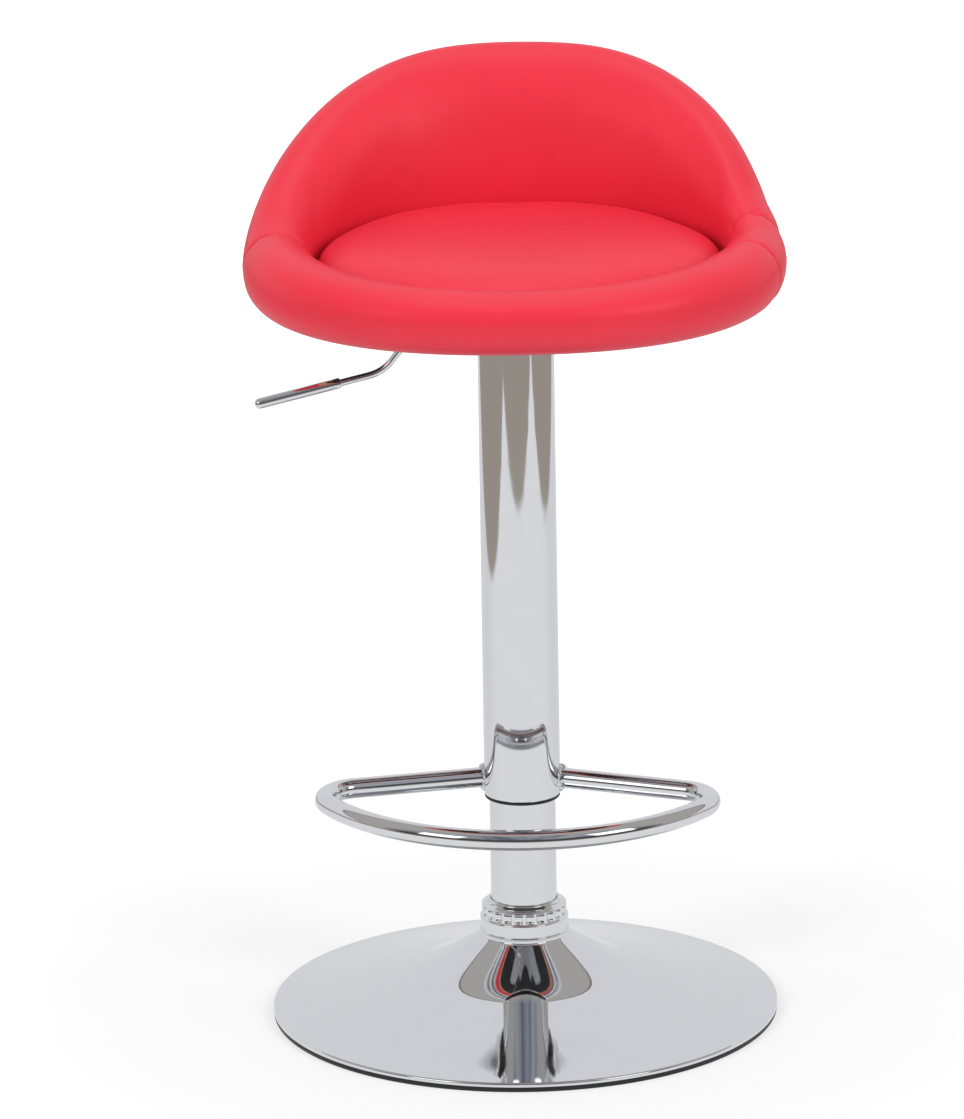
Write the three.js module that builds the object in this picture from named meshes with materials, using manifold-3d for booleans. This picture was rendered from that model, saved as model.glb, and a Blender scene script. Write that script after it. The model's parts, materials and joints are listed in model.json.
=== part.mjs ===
// Bar stool with a gas lift, a swivelling low-backed bucket seat and a hoop footrest.
// Millimetres, +Z up. The floor is at Z = 0, the column stands on the Z axis and the seat faces -Y.
// The stool is modelled at its lowest seat height, with the release lever at rest on the -X side.

import * as THREE from 'three';
import Module from 'manifold-3d';
import { mergeVertices } from 'three/addons/utils/BufferGeometryUtils.js';

const wasm = await Module();
wasm.setup();

// Fits
const fit = 0.3;
const overrun = 3;

// Base: a spun dish on a black ring, with a ballast disc and a welded socket under it
const baseRadius = 200;
const floorRingThickness = 4;
const floorRingWidth = 42;
const skirtHeight = 3.4;
const rimRound = 1.8;
const dishWall = 1.6;
const neckRadius = 35;
const neckHeight = 67.3;
const neckStraight = 1.8;
const neckFilletReach = 1.5;
const neckFilletDrop = 2;
const flankReach = 27.9;
const flankDrop = 17.5;
const flareRadius = 89.5;
const flareHeight = 34.5;
const dishCornerShares = [[0, 0.485], [0.505, 0.554], [0.626, 0.774], [0.773, 0.875], [1, 0]];
const ballastThickness = 5;
const ballastReach = 12;
const ringRelief = 1.2;

// Fluted collar round the foot of the column
const collarBandRadius = 34.8;
const collarBandHeight = 11;
const collarEdgeHeight = 1.2;
const collarEdgeStep = 0.8;
const fluteBandRadius = 33.4;
const fluteBandHeight = 9.5;
const fluteCount = 24;
const fluteDepth = 1.4;
const fluteToolRadius = 2.8;
const collarLipRadius = 28.4;
const collarLipHeight = 4.2;
const collarChamfer = 0.8;

// Column: a tube with a tapered foot, and the guide bush in its top
const columnRadius = 26;
const columnWall = 2.2;
const columnFootRadius = 25;
const columnFootHeight = 15;
const columnWeb = 4;
const columnHeadroom = 22;
const linerLength = 80;
const linerFlange = 3;

// Thrust bearing and clip on the piston rod
const raceRadius = 14;
const raceThickness = 2;
const ballRadius = 2;
const ballCount = 8;
const cageThickness = 2.2;
const cageWidth = 5;
const shoulderRadius = 8;
const shoulderHeight = 5;
const clipRadius = 8.5;
const clipThickness = 1.5;

// Gas lift
const liftStroke = 200;
const rodRadius = 5;
const rodNeckRadius = 3.5;
const rodHeadRadius = 4.8;
const rodHeadHeight = 3;
const pistonLength = 14;
const pistonMargin = 5;
const cylinderRadius = 14;
const cylinderWall = 1.7;
const cylinderRise = 65;
const cylinderHead = 40;
const taperLength = 42;
const taperSlope = 0.025;
const glandLength = 20;
const glandFlange = 2.6;
const buttonRadius = 4;
const buttonProud = 4.7;
const buttonDome = 1;

// Outer sleeve, its bush and its carrier ring
const sleeveRadius = 30;
const sleeveWall = 1.5;
const sleeveClearance = 87;
const sleeveHead = 20;
const bushLength = 34;
const bushFlange = 2.1;
const carrierHeight = 10.5;
const carrierStart = 3;

// Footrest: one tube bent to a bow, its two ends welded to the sleeve
const hoopTubeRadius = 8;
const hoopRise = 11;
const hoopFront = 156;
const hoopFrontRadius = 170;
const hoopBendRadius = 29;
const hoopArmSlope = 0.31;
const hoopArmStart = 12;
const hoopTurn = -4 * Math.PI / 180;
const weldRadius = 2.2;

// Seat height, board and cover
const seatBase = 587.4;
const boardThickness = 12;
const coverThickness = 1.2;
const coverInset = 12;

// Seat plan: a rounded superellipse, which is the centre line of the padded rim
const seatHalfWidth = 184;
const seatHalfDepth = 166;
const seatSetBack = -4;
const seatRoundness = 2.28;

// Padded rim: the front roll, and the back that rises from it
const rollRadius = 28.6;
const crestHeight = 158;
const crestRadius = 24;
const crestDrawIn = 12;
const crestLean = 16;
const crestShift = 5;
const wingPull = 7;
const wingPullTurn = 12 * Math.PI / 180;
const wingPullSpread = 30 * Math.PI / 180;
const riseStartShare = -0.15;
const riseStartPower = 1.6;
const riseEndPower = 2.3;
const riseFull = 0.2;
const frontDrop = 8;
const seamDrawShare = 0.1;
const seamTurn = 5 * Math.PI / 180;
const leftSeam = 184 * Math.PI / 180;
const rightSeam = 4 * Math.PI / 180;
const rightCrease = -17 * Math.PI / 180;

// Cushion
const cushionGap = 0.5;
const cushionRoundness = 2;
const cushionThickness = 38;
const cushionStretch = 8;
const cushionSpreadShares = [0.93, 0.982, 1, 0.985, 0.93, 0.8, 0.55, 0.25];
const cushionHeightShares = [0, 0.14, 0.36, 0.56, 0.74, 0.88, 0.965, 0.995];

// Shell inside the back
const shellThickness = 8;
const shellHeightShare = 0.86;
const shellStart = 14 * Math.PI / 180;

// Seat plate, its hub and its fastenings
const plateWidth = 176;
const plateDepth = 150;
const plateThickness = 3;
const plateCorner = 18;
const plateSkirt = 7;
const plateSkirtWall = 2.5;
const boltSpanX = 132;
const boltSpanY = 106;
const hubRadius = 18.5;
const hubFlangeRadius = 29;
const hubFlangeThickness = 3;
const hubChamberRadius = 15.5;
const boltRadius = 3;
const boltHeadWidth = 10;
const boltHeadHeight = 4.2;
const boltTipInset = 1.5;
const washerRadius = 8;
const washerThickness = 1.6;
const teeNutRadius = 9;
const teeNutFlange = 1.3;
const teeNutBarrelRadius = 4.1;
const teeNutBarrelLength = 9;

// Release lever
const pivotDrop = 9.6;
const pivotReach = 38;
const pivotBossRadius = 5.4;
const pivotBossLength = 9.6;
const pinRadius = 2.4;
const earThickness = 2.4;
const earHalfWidth = 7.5;
const earBase = 2;
const leverRodRadius = 3;
const leverOverreach = 2;
const leverStraight = 29.6;
const leverDropHeight = 47;
const leverDropLength = 36;
const leverArmLength = 100.4;
const leverArmDrop = 25;
const leverBend = 12;
const gripRadius = 4.4;
const gripLength = 69;
const gripTip = 4;
const gripTipShares = [[0, 0], [0.6, 0.25], [1, 1]];
const gripChamfer = 0.8;

// How finely round things are divided
const dishSides = 48;
const dishCurveSteps = [1, 2, 2, 3, 6, 2, 1];
const fluteSides = 6;
const ballSides = 6;
const tubeSides = 32;
const smallSides = 20;
const hoopSides = 10;
const hoopSteps = 52;
const weldSides = 6;
const weldSteps = 14;
const rodSides = 8;
const leverSteps = 30;
const plateCurveSteps = 5;
const earCurveSteps = 6;
const padTurnStep = 6 * Math.PI / 180;
const sectionDegrees = [0, 30, 60, 90, 105, 120, 135, 150, 165, 180, 210, 240, 270, 300, 330];
const planSides = 56;

// Heights that follow from the sizes above
const ringTop = floorRingThickness;
const dishBottom = ringTop + fit;
const collarBottom = neckHeight + fit;
const collarTop = collarBottom + collarEdgeHeight + collarBandHeight + fluteBandHeight + collarLipHeight;
const lowerRaceBottom = columnFootHeight + columnWeb + fit;
const cageMiddle = lowerRaceBottom + raceThickness + fit + ballRadius;
const upperRaceBottom = cageMiddle + ballRadius + fit;
const shoulderBottom = upperRaceBottom + raceThickness + fit;
const boardTop = seatBase + boardThickness;
const coverBottom = seatBase - fit - coverThickness;
const plateTop = coverBottom - fit;
const plateUnderside = plateTop - plateThickness;
const pivotHeight = plateUnderside - pivotDrop;
const buttonTop = pivotHeight - leverRodRadius - fit;
const cylinderTop = buttonTop - buttonProud;
const cylinderBottom = shoulderBottom + shoulderHeight + cylinderRise;
const taperStart = cylinderTop - taperLength;
const chamberTop = cylinderTop - cylinderHead;
const carrierBottom = taperStart + carrierStart;
const hubBottom = carrierBottom + carrierHeight + fit;
const columnTop = carrierBottom - columnHeadroom;
const sleeveBottom = collarTop + sleeveClearance;
const sleeveTop = hubBottom + sleeveHead;
const hoopHeight = sleeveBottom + hoopRise;
const pistonBottom = cylinderBottom + glandLength + liftStroke + pistonMargin;
const pistonTop = pistonBottom + pistonLength;
const rollHeight = seatBase + rollRadius;
const hubTop = plateUnderside - fit;

// Finishes
function finish(color, roughness, metalness) {
  return new THREE.MeshStandardMaterial({ color, roughness, metalness });
}

const chrome = finish(0xd9dadd, 0.08, 1);
const steel = finish(0x8d9094, 0.4, 1);
const blackPlastic = finish(0x17171a, 0.55, 0);
const ivoryPlastic = finish(0xd8d4c8, 0.5, 0);
const leatherette = finish(0xd91a2e, 0.5, 0);
const plywood = finish(0xb98f5e, 0.7, 0);
const dustCloth = finish(0x1b1b1d, 0.9, 0);

// Makes one closed surface of a geometry: shared vertices merged, flat faces dropped, faces outwards
function closed(geometry) {
  const bare = geometry.clone();
  bare.deleteAttribute('normal');
  bare.deleteAttribute('uv');
  const merged = mergeVertices(bare, 1e-4);
  const source = merged.index.array;
  const corners = [];
  for (let i = 0; i < source.length; i += 3) {
    const [a, b, c] = [source[i], source[i + 1], source[i + 2]];
    if (a !== b && b !== c && c !== a) corners.push(a, b, c);
  }
  if (signedVolume(merged.attributes.position, corners) < 0) corners.reverse();
  merged.setIndex(corners);
  return merged;
}

function signedVolume(position, corners) {
  const [a, b, c] = [new THREE.Vector3(), new THREE.Vector3(), new THREE.Vector3()];
  let sum = 0;
  for (let i = 0; i < corners.length; i += 3) {
    a.fromBufferAttribute(position, corners[i]);
    b.fromBufferAttribute(position, corners[i + 1]);
    c.fromBufferAttribute(position, corners[i + 2]);
    sum += a.dot(b.cross(c));
  }
  return sum;
}

function toSolid(geometry) {
  const surface = closed(geometry);
  return new wasm.Manifold(new wasm.Mesh({
    numProp: 3,
    vertProperties: Float32Array.from(surface.attributes.position.array),
    triVerts: Uint32Array.from(surface.index.array),
  }));
}

function toGeometry(solid) {
  const mesh = solid.getMesh();
  const geometry = new THREE.BufferGeometry();
  geometry.setAttribute('position', new THREE.BufferAttribute(Float32Array.from(mesh.vertProperties), 3));
  geometry.setIndex(Array.from(mesh.triVerts));
  return geometry;
}

function join(first, ...others) {
  return toGeometry(others.reduce((solid, other) => solid.add(toSolid(other)), toSolid(first)));
}

function cut(body, ...tools) {
  return toGeometry(tools.reduce((solid, tool) => solid.subtract(toSolid(tool)), toSolid(body)));
}

// Turns a profile of [radius, height] points, which closes on itself or on the axis, about Z
function revolve(profile, sides) {
  const points = profile.map(([radius, height]) => new THREE.Vector2(radius, height));
  if (profile[0][0] > 0) points.push(points[0].clone());
  return closed(new THREE.LatheGeometry(points, sides).rotateX(Math.PI / 2));
}

function tubeRing(inner, outer, low, high, sides) {
  return revolve([[inner, low], [outer, low], [outer, high], [inner, high]], sides);
}

function rod(radius, low, high, sides) {
  return revolve([[0, low], [radius, low], [radius, high], [0, high]], sides);
}

// Sweeps a round section along a curve
function sweep(curve, radius, steps, sides) {
  const section = new THREE.Shape();
  for (let i = 0; i < sides; i += 1) {
    const angle = 2 * Math.PI * i / sides;
    const [x, y] = [radius * Math.cos(angle), radius * Math.sin(angle)];
    if (i === 0) section.moveTo(x, y);
    else section.lineTo(x, y);
  }
  section.closePath();
  return closed(new THREE.ExtrudeGeometry(section, { steps, extrudePath: curve }));
}

// Skins a row of rings of points, with a fan on the first and the last ring
function loft(rings) {
  const sides = rings[0].length;
  const position = [];
  const index = [];
  for (const ring of rings) ring.forEach((point) => position.push(point.x, point.y, point.z));
  for (let row = 0; row + 1 < rings.length; row += 1) {
    for (let i = 0; i < sides; i += 1) {
      const a = row * sides + i;
      const b = row * sides + (i + 1) % sides;
      index.push(a, b, b + sides, a, b + sides, a + sides);
    }
  }
  for (const row of [0, rings.length - 1]) {
    const middle = new THREE.Vector3();
    rings[row].forEach((point) => middle.addScaledVector(point, 1 / sides));
    const hub = position.length / 3;
    position.push(middle.x, middle.y, middle.z);
    for (let i = 0; i < sides; i += 1) {
      const a = row * sides + i;
      const b = row * sides + (i + 1) % sides;
      if (row === 0) index.push(hub, b, a);
      else index.push(hub, a, b);
    }
  }
  const geometry = new THREE.BufferGeometry();
  geometry.setAttribute('position', new THREE.Float32BufferAttribute(position, 3));
  geometry.setIndex(index);
  return closed(geometry);
}

// Pushes a flat shape up from one height to another
function plate(shape, low, high) {
  const depth = high - low;
  const options = { depth, bevelEnabled: false, curveSegments: plateCurveSteps };
  const geometry = new THREE.ExtrudeGeometry(shape, options);
  return closed(geometry.translate(0, 0, low));
}

function roundedRectangle(width, depth, corner) {
  const shape = new THREE.Shape();
  const [x, y] = [width / 2, depth / 2];
  shape.moveTo(-x + corner, -y);
  shape.lineTo(x - corner, -y);
  shape.absarc(x - corner, -y + corner, corner, -Math.PI / 2, 0, false);
  shape.lineTo(x, y - corner);
  shape.absarc(x - corner, y - corner, corner, 0, Math.PI / 2, false);
  shape.lineTo(-x + corner, y);
  shape.absarc(-x + corner, y - corner, corner, Math.PI / 2, Math.PI, false);
  shape.lineTo(-x, -y + corner);
  shape.absarc(-x + corner, -y + corner, corner, Math.PI, 1.5 * Math.PI, false);
  return shape;
}

const stool = new THREE.Group();

function addPiece(group, name, geometry, material) {
  const mesh = new THREE.Mesh(geometry, material);
  mesh.name = name;
  group.add(mesh);
  return mesh;
}

function addGroup(parent) {
  const group = new THREE.Group();
  parent.add(group);
  return group;
}

// The dish's outer line, from the top of the neck down to the lower edge of the skirt
function dishOuterLine() {
  const rimHeight = dishBottom + skirtHeight;
  const flankRadius = neckRadius + neckFilletReach;
  const flankHeight = neckHeight - neckStraight - neckFilletDrop;
  const stops = [
    [neckRadius, neckHeight - neckStraight],
    [flankRadius, flankHeight],
    [flankRadius + flankReach, flankHeight - flankDrop],
    [flareRadius, flareHeight],
    [baseRadius - rimRound, rimHeight],
    [baseRadius, rimHeight - rimRound],
  ];
  const line = new THREE.Path();
  line.moveTo(neckRadius, neckHeight);
  line.lineTo(...stops[0]);
  dishCornerShares.forEach(([across, down], i) => {
    const [startRadius, startHeight] = stops[i];
    const [radius, height] = stops[i + 1];
    line.quadraticCurveTo(
      startRadius + (radius - startRadius) * across,
      startHeight + (height - startHeight) * down,
      radius,
      height,
    );
  });
  line.lineTo(baseRadius, dishBottom);
  return line.curves.flatMap((curve, i) => curve.getPoints(dishCurveSteps[i]).slice(i === 0 ? 0 : 1));
}

// The same line moved inwards by a distance, square to itself
function insetLine(line, distance) {
  return line.map((point, i) => {
    const before = line[Math.max(i - 1, 0)];
    const after = line[Math.min(i + 1, line.length - 1)];
    const along = after.clone().sub(before).normalize();
    return new THREE.Vector2(point.x + along.y * distance, point.y - along.x * distance);
  });
}

function buildBase() {
  const group = addGroup(stool);
  const outer = dishOuterLine();
  const inner = insetLine(outer, dishWall).filter((_, i, line) => i % 2 === 0 || i > line.length - 3);
  inner[0].y = neckHeight;
  inner[inner.length - 1].y = dishBottom;
  const dishProfile = [...outer, ...inner.reverse()].map((point) => [point.x, point.y]);
  addPiece(group, 'base_dish', revolve(dishProfile, dishSides), chrome);

  const ringInner = baseRadius - floorRingWidth;
  const ringProfile = [
    [ringInner, ringRelief],
    [ringInner + floorRingWidth / 2, ringRelief],
    [ringInner + floorRingWidth / 2 + ringRelief, 0],
    [baseRadius - rimRound / 2, 0],
    [baseRadius - rimRound / 4, ringTop],
    [ringInner, ringTop],
  ];
  addPiece(group, 'floor_ring', revolve(ringProfile, dishSides), blackPlastic);

  const socketRadius = neckRadius - dishWall - fit;
  const ballastOuter = ringInner + ballastReach;
  const ballastTop = ringTop + fit + ballastThickness;
  const ballast = tubeRing(socketRadius + fit, ballastOuter, ringTop + fit, ballastTop, tubeSides);
  addPiece(group, 'ballast_disc', ballast, steel);

  const socketTop = neckHeight - dishWall;
  const socketProfile = [
    [columnFootRadius + fit, columnFootHeight],
    [columnFootRadius + fit, ringTop + fit],
    [socketRadius, ringTop + fit],
    [socketRadius, socketTop],
    [footRadiusAt(socketTop) + fit, socketTop],
  ];
  addPiece(group, 'hub_socket', revolve(socketProfile, tubeSides), steel);
  return group;
}

// The column's foot tapers from the collar down
function footRadiusAt(height) {
  const share = (height - columnFootHeight) / (collarBottom - columnFootHeight);
  return columnFootRadius + (columnRadius - columnFootRadius) * Math.min(Math.max(share, 0), 1);
}

function buildCollar(group) {
  const bore = columnRadius + fit;
  const bandTop = collarBottom + collarEdgeHeight + collarBandHeight;
  const fluteTop = bandTop + fluteBandHeight;
  const bodyProfile = [
    [bore, collarBottom],
    [collarBandRadius + collarEdgeStep, collarBottom],
    [collarBandRadius + collarEdgeStep, collarBottom + collarEdgeHeight],
    [collarBandRadius, collarBottom + collarEdgeHeight],
    [collarBandRadius, bandTop - collarChamfer],
    [collarBandRadius - collarChamfer, bandTop],
    [fluteBandRadius, bandTop],
    [fluteBandRadius, fluteTop - collarChamfer],
    [fluteBandRadius - collarChamfer, fluteTop],
    [collarLipRadius, fluteTop],
    [collarLipRadius, collarTop - collarChamfer],
    [collarLipRadius - collarChamfer, collarTop],
    [bore, collarTop],
  ];
  const toolRing = fluteBandRadius + fluteToolRadius - fluteDepth;
  const flutes = [];
  for (let i = 0; i < fluteCount; i += 1) {
    const angle = 2 * Math.PI * i / fluteCount;
    const tool = rod(fluteToolRadius, bandTop + fit, fluteTop + fit, fluteSides).rotateZ(angle);
    flutes.push(tool.translate(toolRing * Math.cos(angle), toolRing * Math.sin(angle), 0));
  }
  const body = revolve(bodyProfile, 2 * fluteCount);
  addPiece(group, 'base_collar', cut(body, ...flutes), chrome);
}

function buildColumn(group) {
  const bore = columnRadius - columnWall;
  const webTop = columnFootHeight + columnWeb;
  const columnProfile = [
    [rodRadius + fit, columnFootHeight],
    [columnFootRadius, columnFootHeight],
    [columnRadius, collarBottom],
    [columnRadius, columnTop],
    [bore, columnTop],
    [bore, webTop],
    [rodRadius + fit, webTop],
  ];
  addPiece(group, 'column_tube', revolve(columnProfile, tubeSides), chrome);

  const linerBore = cylinderRadius + fit;
  const linerProfile = [
    [linerBore, columnTop - linerLength],
    [bore - fit, columnTop - linerLength],
    [bore - fit, columnTop + fit],
    [columnRadius, columnTop + fit],
    [columnRadius, columnTop + fit + linerFlange],
    [linerBore, columnTop + fit + linerFlange],
  ];
  addPiece(group, 'column_liner', revolve(linerProfile, smallSides), ivoryPlastic);

  addPiece(group, 'thrust_race_lower', thrustRace(lowerRaceBottom), steel);
}

function thrustRace(bottom) {
  return tubeRing(rodRadius + fit, raceRadius, bottom, bottom + raceThickness, smallSides);
}

function buildRod(group) {
  addPiece(group, 'thrust_race_upper', thrustRace(upperRaceBottom), steel);

  const cageRadius = (raceRadius + rodRadius) / 2;
  const cage = tubeRing(
    cageRadius - cageWidth / 2,
    cageRadius + cageWidth / 2,
    cageMiddle - cageThickness / 2,
    cageMiddle + cageThickness / 2,
    smallSides,
  );
  const balls = [];
  for (let i = 0; i < ballCount; i += 1) {
    const angle = 2 * Math.PI * i / ballCount;
    const ball = new THREE.SphereGeometry(ballRadius, ballSides, ballSides - 2).rotateX(Math.PI / 2);
    balls.push(ball.translate(cageRadius * Math.cos(angle), cageRadius * Math.sin(angle), cageMiddle));
  }
  addPiece(group, 'thrust_ball_cage', join(cage, ...balls), steel);

  const clipTop = columnFootHeight - fit;
  const clipBottom = clipTop - clipThickness;
  const clip = tubeRing(rodRadius + fit, clipRadius, clipBottom, clipTop, smallSides);
  addPiece(group, 'retaining_clip', clip, steel);

  const rodBottom = clipBottom - clipThickness;
  const headBottom = pistonTop + fit;
  const rodProfile = [
    [0, rodBottom],
    [rodRadius, rodBottom],
    [rodRadius, shoulderBottom],
    [shoulderRadius, shoulderBottom],
    [shoulderRadius, shoulderBottom + shoulderHeight],
    [rodRadius, shoulderBottom + shoulderHeight],
    [rodRadius, pistonBottom - fit],
    [rodNeckRadius, pistonBottom - fit],
    [rodNeckRadius, headBottom],
    [rodHeadRadius, headBottom],
    [rodHeadRadius, headBottom + rodHeadHeight],
    [0, headBottom + rodHeadHeight],
  ];
  addPiece(group, 'piston_rod', revolve(rodProfile, smallSides), steel);

  const pistonRadius = cylinderRadius - cylinderWall - fit;
  const piston = tubeRing(rodNeckRadius + fit, pistonRadius, pistonBottom, pistonTop, smallSides);
  addPiece(group, 'piston', piston, blackPlastic);
}

function taperRadiusAt(height) {
  return cylinderRadius - taperSlope * Math.max(height - taperStart, 0);
}

function buildGasCylinder(group) {
  const chamberRadius = cylinderRadius - cylinderWall;
  const cylinderProfile = [
    [chamberRadius, cylinderBottom],
    [cylinderRadius, cylinderBottom],
    [cylinderRadius, taperStart],
    [taperRadiusAt(cylinderTop), cylinderTop],
    [buttonRadius + fit, cylinderTop],
    [buttonRadius + fit, chamberTop],
    [chamberRadius, chamberTop],
  ];
  addPiece(group, 'gas_cylinder', revolve(cylinderProfile, smallSides), steel);

  const glandProfile = [
    [rodRadius + fit, cylinderBottom - fit - glandFlange],
    [cylinderRadius, cylinderBottom - fit - glandFlange],
    [cylinderRadius, cylinderBottom - fit],
    [chamberRadius - fit, cylinderBottom - fit],
    [chamberRadius - fit, cylinderBottom + glandLength],
    [rodRadius + fit, cylinderBottom + glandLength],
  ];
  addPiece(group, 'cylinder_gland', revolve(glandProfile, smallSides), blackPlastic);
}

function buildButton(group) {
  const buttonProfile = [
    [0, chamberTop + overrun],
    [buttonRadius, chamberTop + overrun],
    [buttonRadius, buttonTop - buttonDome],
    [buttonRadius - buttonDome, buttonTop],
    [0, buttonTop],
  ];
  addPiece(group, 'valve_button', revolve(buttonProfile, smallSides), steel);
}

function buildSleeve(group) {
  const sleeveBore = sleeveRadius - sleeveWall;
  const sleeve = tubeRing(sleeveBore, sleeveRadius, sleeveBottom, sleeveTop, tubeSides);
  addPiece(group, 'sleeve_tube', sleeve, chrome);

  const bushBore = columnRadius + fit;
  const bushTop = sleeveBottom - fit;
  const bushProfile = [
    [bushBore, bushTop - bushFlange],
    [sleeveRadius - fit, bushTop - bushFlange],
    [sleeveRadius - fit, bushTop],
    [sleeveBore - fit, bushTop],
    [sleeveBore - fit, sleeveBottom + bushLength],
    [bushBore, sleeveBottom + bushLength],
  ];
  addPiece(group, 'sleeve_bush', revolve(bushProfile, tubeSides), blackPlastic);

  const carrierTop = carrierBottom + carrierHeight;
  const carrierProfile = [
    [taperRadiusAt(carrierBottom) + fit, carrierBottom],
    [sleeveBore - fit, carrierBottom],
    [sleeveBore - fit, carrierTop],
    [taperRadiusAt(carrierTop) + fit, carrierTop],
  ];
  addPiece(group, 'sleeve_carrier', revolve(carrierProfile, smallSides), steel);
}

// An arc that lies level about a centre
class LevelArc extends THREE.Curve {
  constructor(centre, radius, start, end) {
    super();
    Object.assign(this, { centre, radius, start, end });
  }

  getPoint(share, target = new THREE.Vector3()) {
    const angle = this.start + (this.end - this.start) * share;
    const x = this.centre.x + this.radius * Math.cos(angle);
    const y = this.centre.y + this.radius * Math.sin(angle);
    return target.set(x, y, 0);
  }
}

// The bow's centre line: straight arm, tight bend, wide front arc, tight bend, straight arm
function hoopCurve() {
  const frontCentre = new THREE.Vector3(0, hoopFrontRadius - hoopFront, 0);
  const lean = Math.atan(hoopArmSlope);
  const toBend = new THREE.Vector3(-Math.sin(lean), -Math.cos(lean), 0).multiplyScalar(hoopBendRadius);
  // The bend's centre lies one bend radius in front of the arm, and touches the front arc from inside
  const gap = hoopArmStart + toBend.y - frontCentre.y;
  const reach = hoopFrontRadius - hoopBendRadius;
  const a = 1 + hoopArmSlope ** 2;
  const b = 2 * (toBend.x - hoopArmSlope * gap);
  const c = toBend.x ** 2 + gap ** 2 - reach ** 2;
  const armLength = (-b + Math.sqrt(b ** 2 - 4 * a * c)) / (2 * a);
  const armEnd = new THREE.Vector3(armLength, hoopArmStart - hoopArmSlope * armLength, 0);
  const bend = armEnd.clone().add(toBend);
  const frontStart = Math.atan2(bend.y - frontCentre.y, bend.x);
  const mirrored = (point) => new THREE.Vector3(-point.x, point.y, point.z);
  const weldPlace = new THREE.Vector3(columnRadius, hoopArmStart - hoopArmSlope * columnRadius, 0);
  const curve = new THREE.CurvePath();
  curve.add(new THREE.LineCurve3(weldPlace, armEnd));
  curve.add(new LevelArc(bend, hoopBendRadius, Math.PI / 2 - lean, frontStart));
  curve.add(new LevelArc(frontCentre, hoopFrontRadius, frontStart, -Math.PI - frontStart));
  curve.add(new LevelArc(mirrored(bend), hoopBendRadius, -Math.PI - frontStart, -1.5 * Math.PI + lean));
  curve.add(new THREE.LineCurve3(mirrored(armEnd), mirrored(weldPlace)));
  return curve;
}

function buildFootrest(carriage) {
  const group = addGroup(carriage);
  group.position.z = hoopHeight;
  group.rotation.z = hoopTurn;
  const lean = Math.atan(hoopArmSlope);
  const hoop = sweep(hoopCurve(), hoopTubeRadius, hoopSteps, hoopSides);
  const welds = [-1, 1].map((side) => {
    const bead = new THREE.TorusGeometry(hoopTubeRadius, weldRadius, weldSides, weldSteps);
    bead.rotateY(Math.PI / 2).rotateZ(-side * lean);
    const x = sleeveRadius + weldRadius / 2;
    return bead.translate(side * x, hoopArmStart - hoopArmSlope * x, 0);
  });
  const reach = hoopTubeRadius + overrun;
  const sleeveTool = rod(sleeveRadius + fit, -reach, reach, tubeSides).rotateZ(-hoopTurn);
  addPiece(group, 'footrest_hoop', cut(join(hoop, ...welds), sleeveTool), chrome);
}

// A point of a superellipse about the seat's middle, at a turn from +X
function roundPoint(turn, halfWidth, halfDepth, roundness, height) {
  const [c, s] = [Math.cos(turn), Math.sin(turn)];
  const size = (Math.abs(c) ** roundness + Math.abs(s) ** roundness) ** (-1 / roundness);
  return new THREE.Vector3(halfWidth * size * c, seatSetBack + halfDepth * size * s, height);
}

// A point of the seat's plan, moved outwards from the centre line by an offset
function planPoint(turn, offset, height) {
  const point = roundPoint(turn, seatHalfWidth, seatHalfDepth, seatRoundness, height);
  return point.addScaledVector(planOutward(turn), offset);
}

// The line where the cushion is widest, which reaches a little further on the right
function cushionPoint(turn, height) {
  const inset = rollRadius + cushionGap;
  const halfWidth = seatHalfWidth - inset + cushionStretch * Math.max(Math.cos(turn), 0) ** 2;
  return roundPoint(turn, halfWidth, seatHalfDepth - inset, cushionRoundness, height);
}

function planOutward(turn) {
  const [c, s] = [Math.cos(turn), Math.sin(turn)];
  const x = Math.sign(c) * Math.abs(c) ** (seatRoundness - 1) / seatHalfWidth;
  const y = Math.sign(s) * Math.abs(s) ** (seatRoundness - 1) / seatHalfDepth;
  return new THREE.Vector3(x, y, 0).normalize();
}

function planTurns() {
  return Array.from({ length: planSides }, (_, i) => 2 * Math.PI * i / planSides);
}

function planRing(offset, height) {
  return planTurns().map((turn) => planPoint(turn, offset, height));
}

// How far the back has risen at a turn, from 0 at the front to 1 at the middle of the back
function riseAt(turn) {
  const share = Math.max((Math.sin(turn) - riseStartShare) / (1 - riseStartShare), 0);
  return (1 - (1 - share) ** riseStartPower) ** riseEndPower;
}

// The middle of the padded rim's upper round
function crestPoint(turn) {
  const rise = riseAt(turn);
  const point = planPoint(turn, 0, rollHeight + (crestHeight - crestRadius - rollRadius) * rise);
  point.x += crestShift * rise ** 3 - crestDrawIn * rise * Math.cos(turn);
  point.y += crestLean * rise * Math.sin(turn);
  point.z -= frontDrop * Math.max(-Math.sin(turn), 0) ** 2;
  return point;
}

// The cover is drawn tighter over the right wing
function wingPullAt(turn) {
  const distance = Math.atan2(Math.sin(turn - wingPullTurn), Math.cos(turn - wingPullTurn));
  const nearness = Math.max(1 - Math.abs(distance) / wingPullSpread, 0);
  return wingPull * nearness * nearness * (3 - 2 * nearness);
}

// Seams and creases draw the rim in
function fullnessAt(turn, seams) {
  return seams.reduce((fullness, seam) => {
    const nearness = Math.max(1 - Math.abs(turn - seam) / seamTurn, 0);
    return fullness * (1 - seamDrawShare * nearness ** 2);
  }, 1);
}

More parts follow.
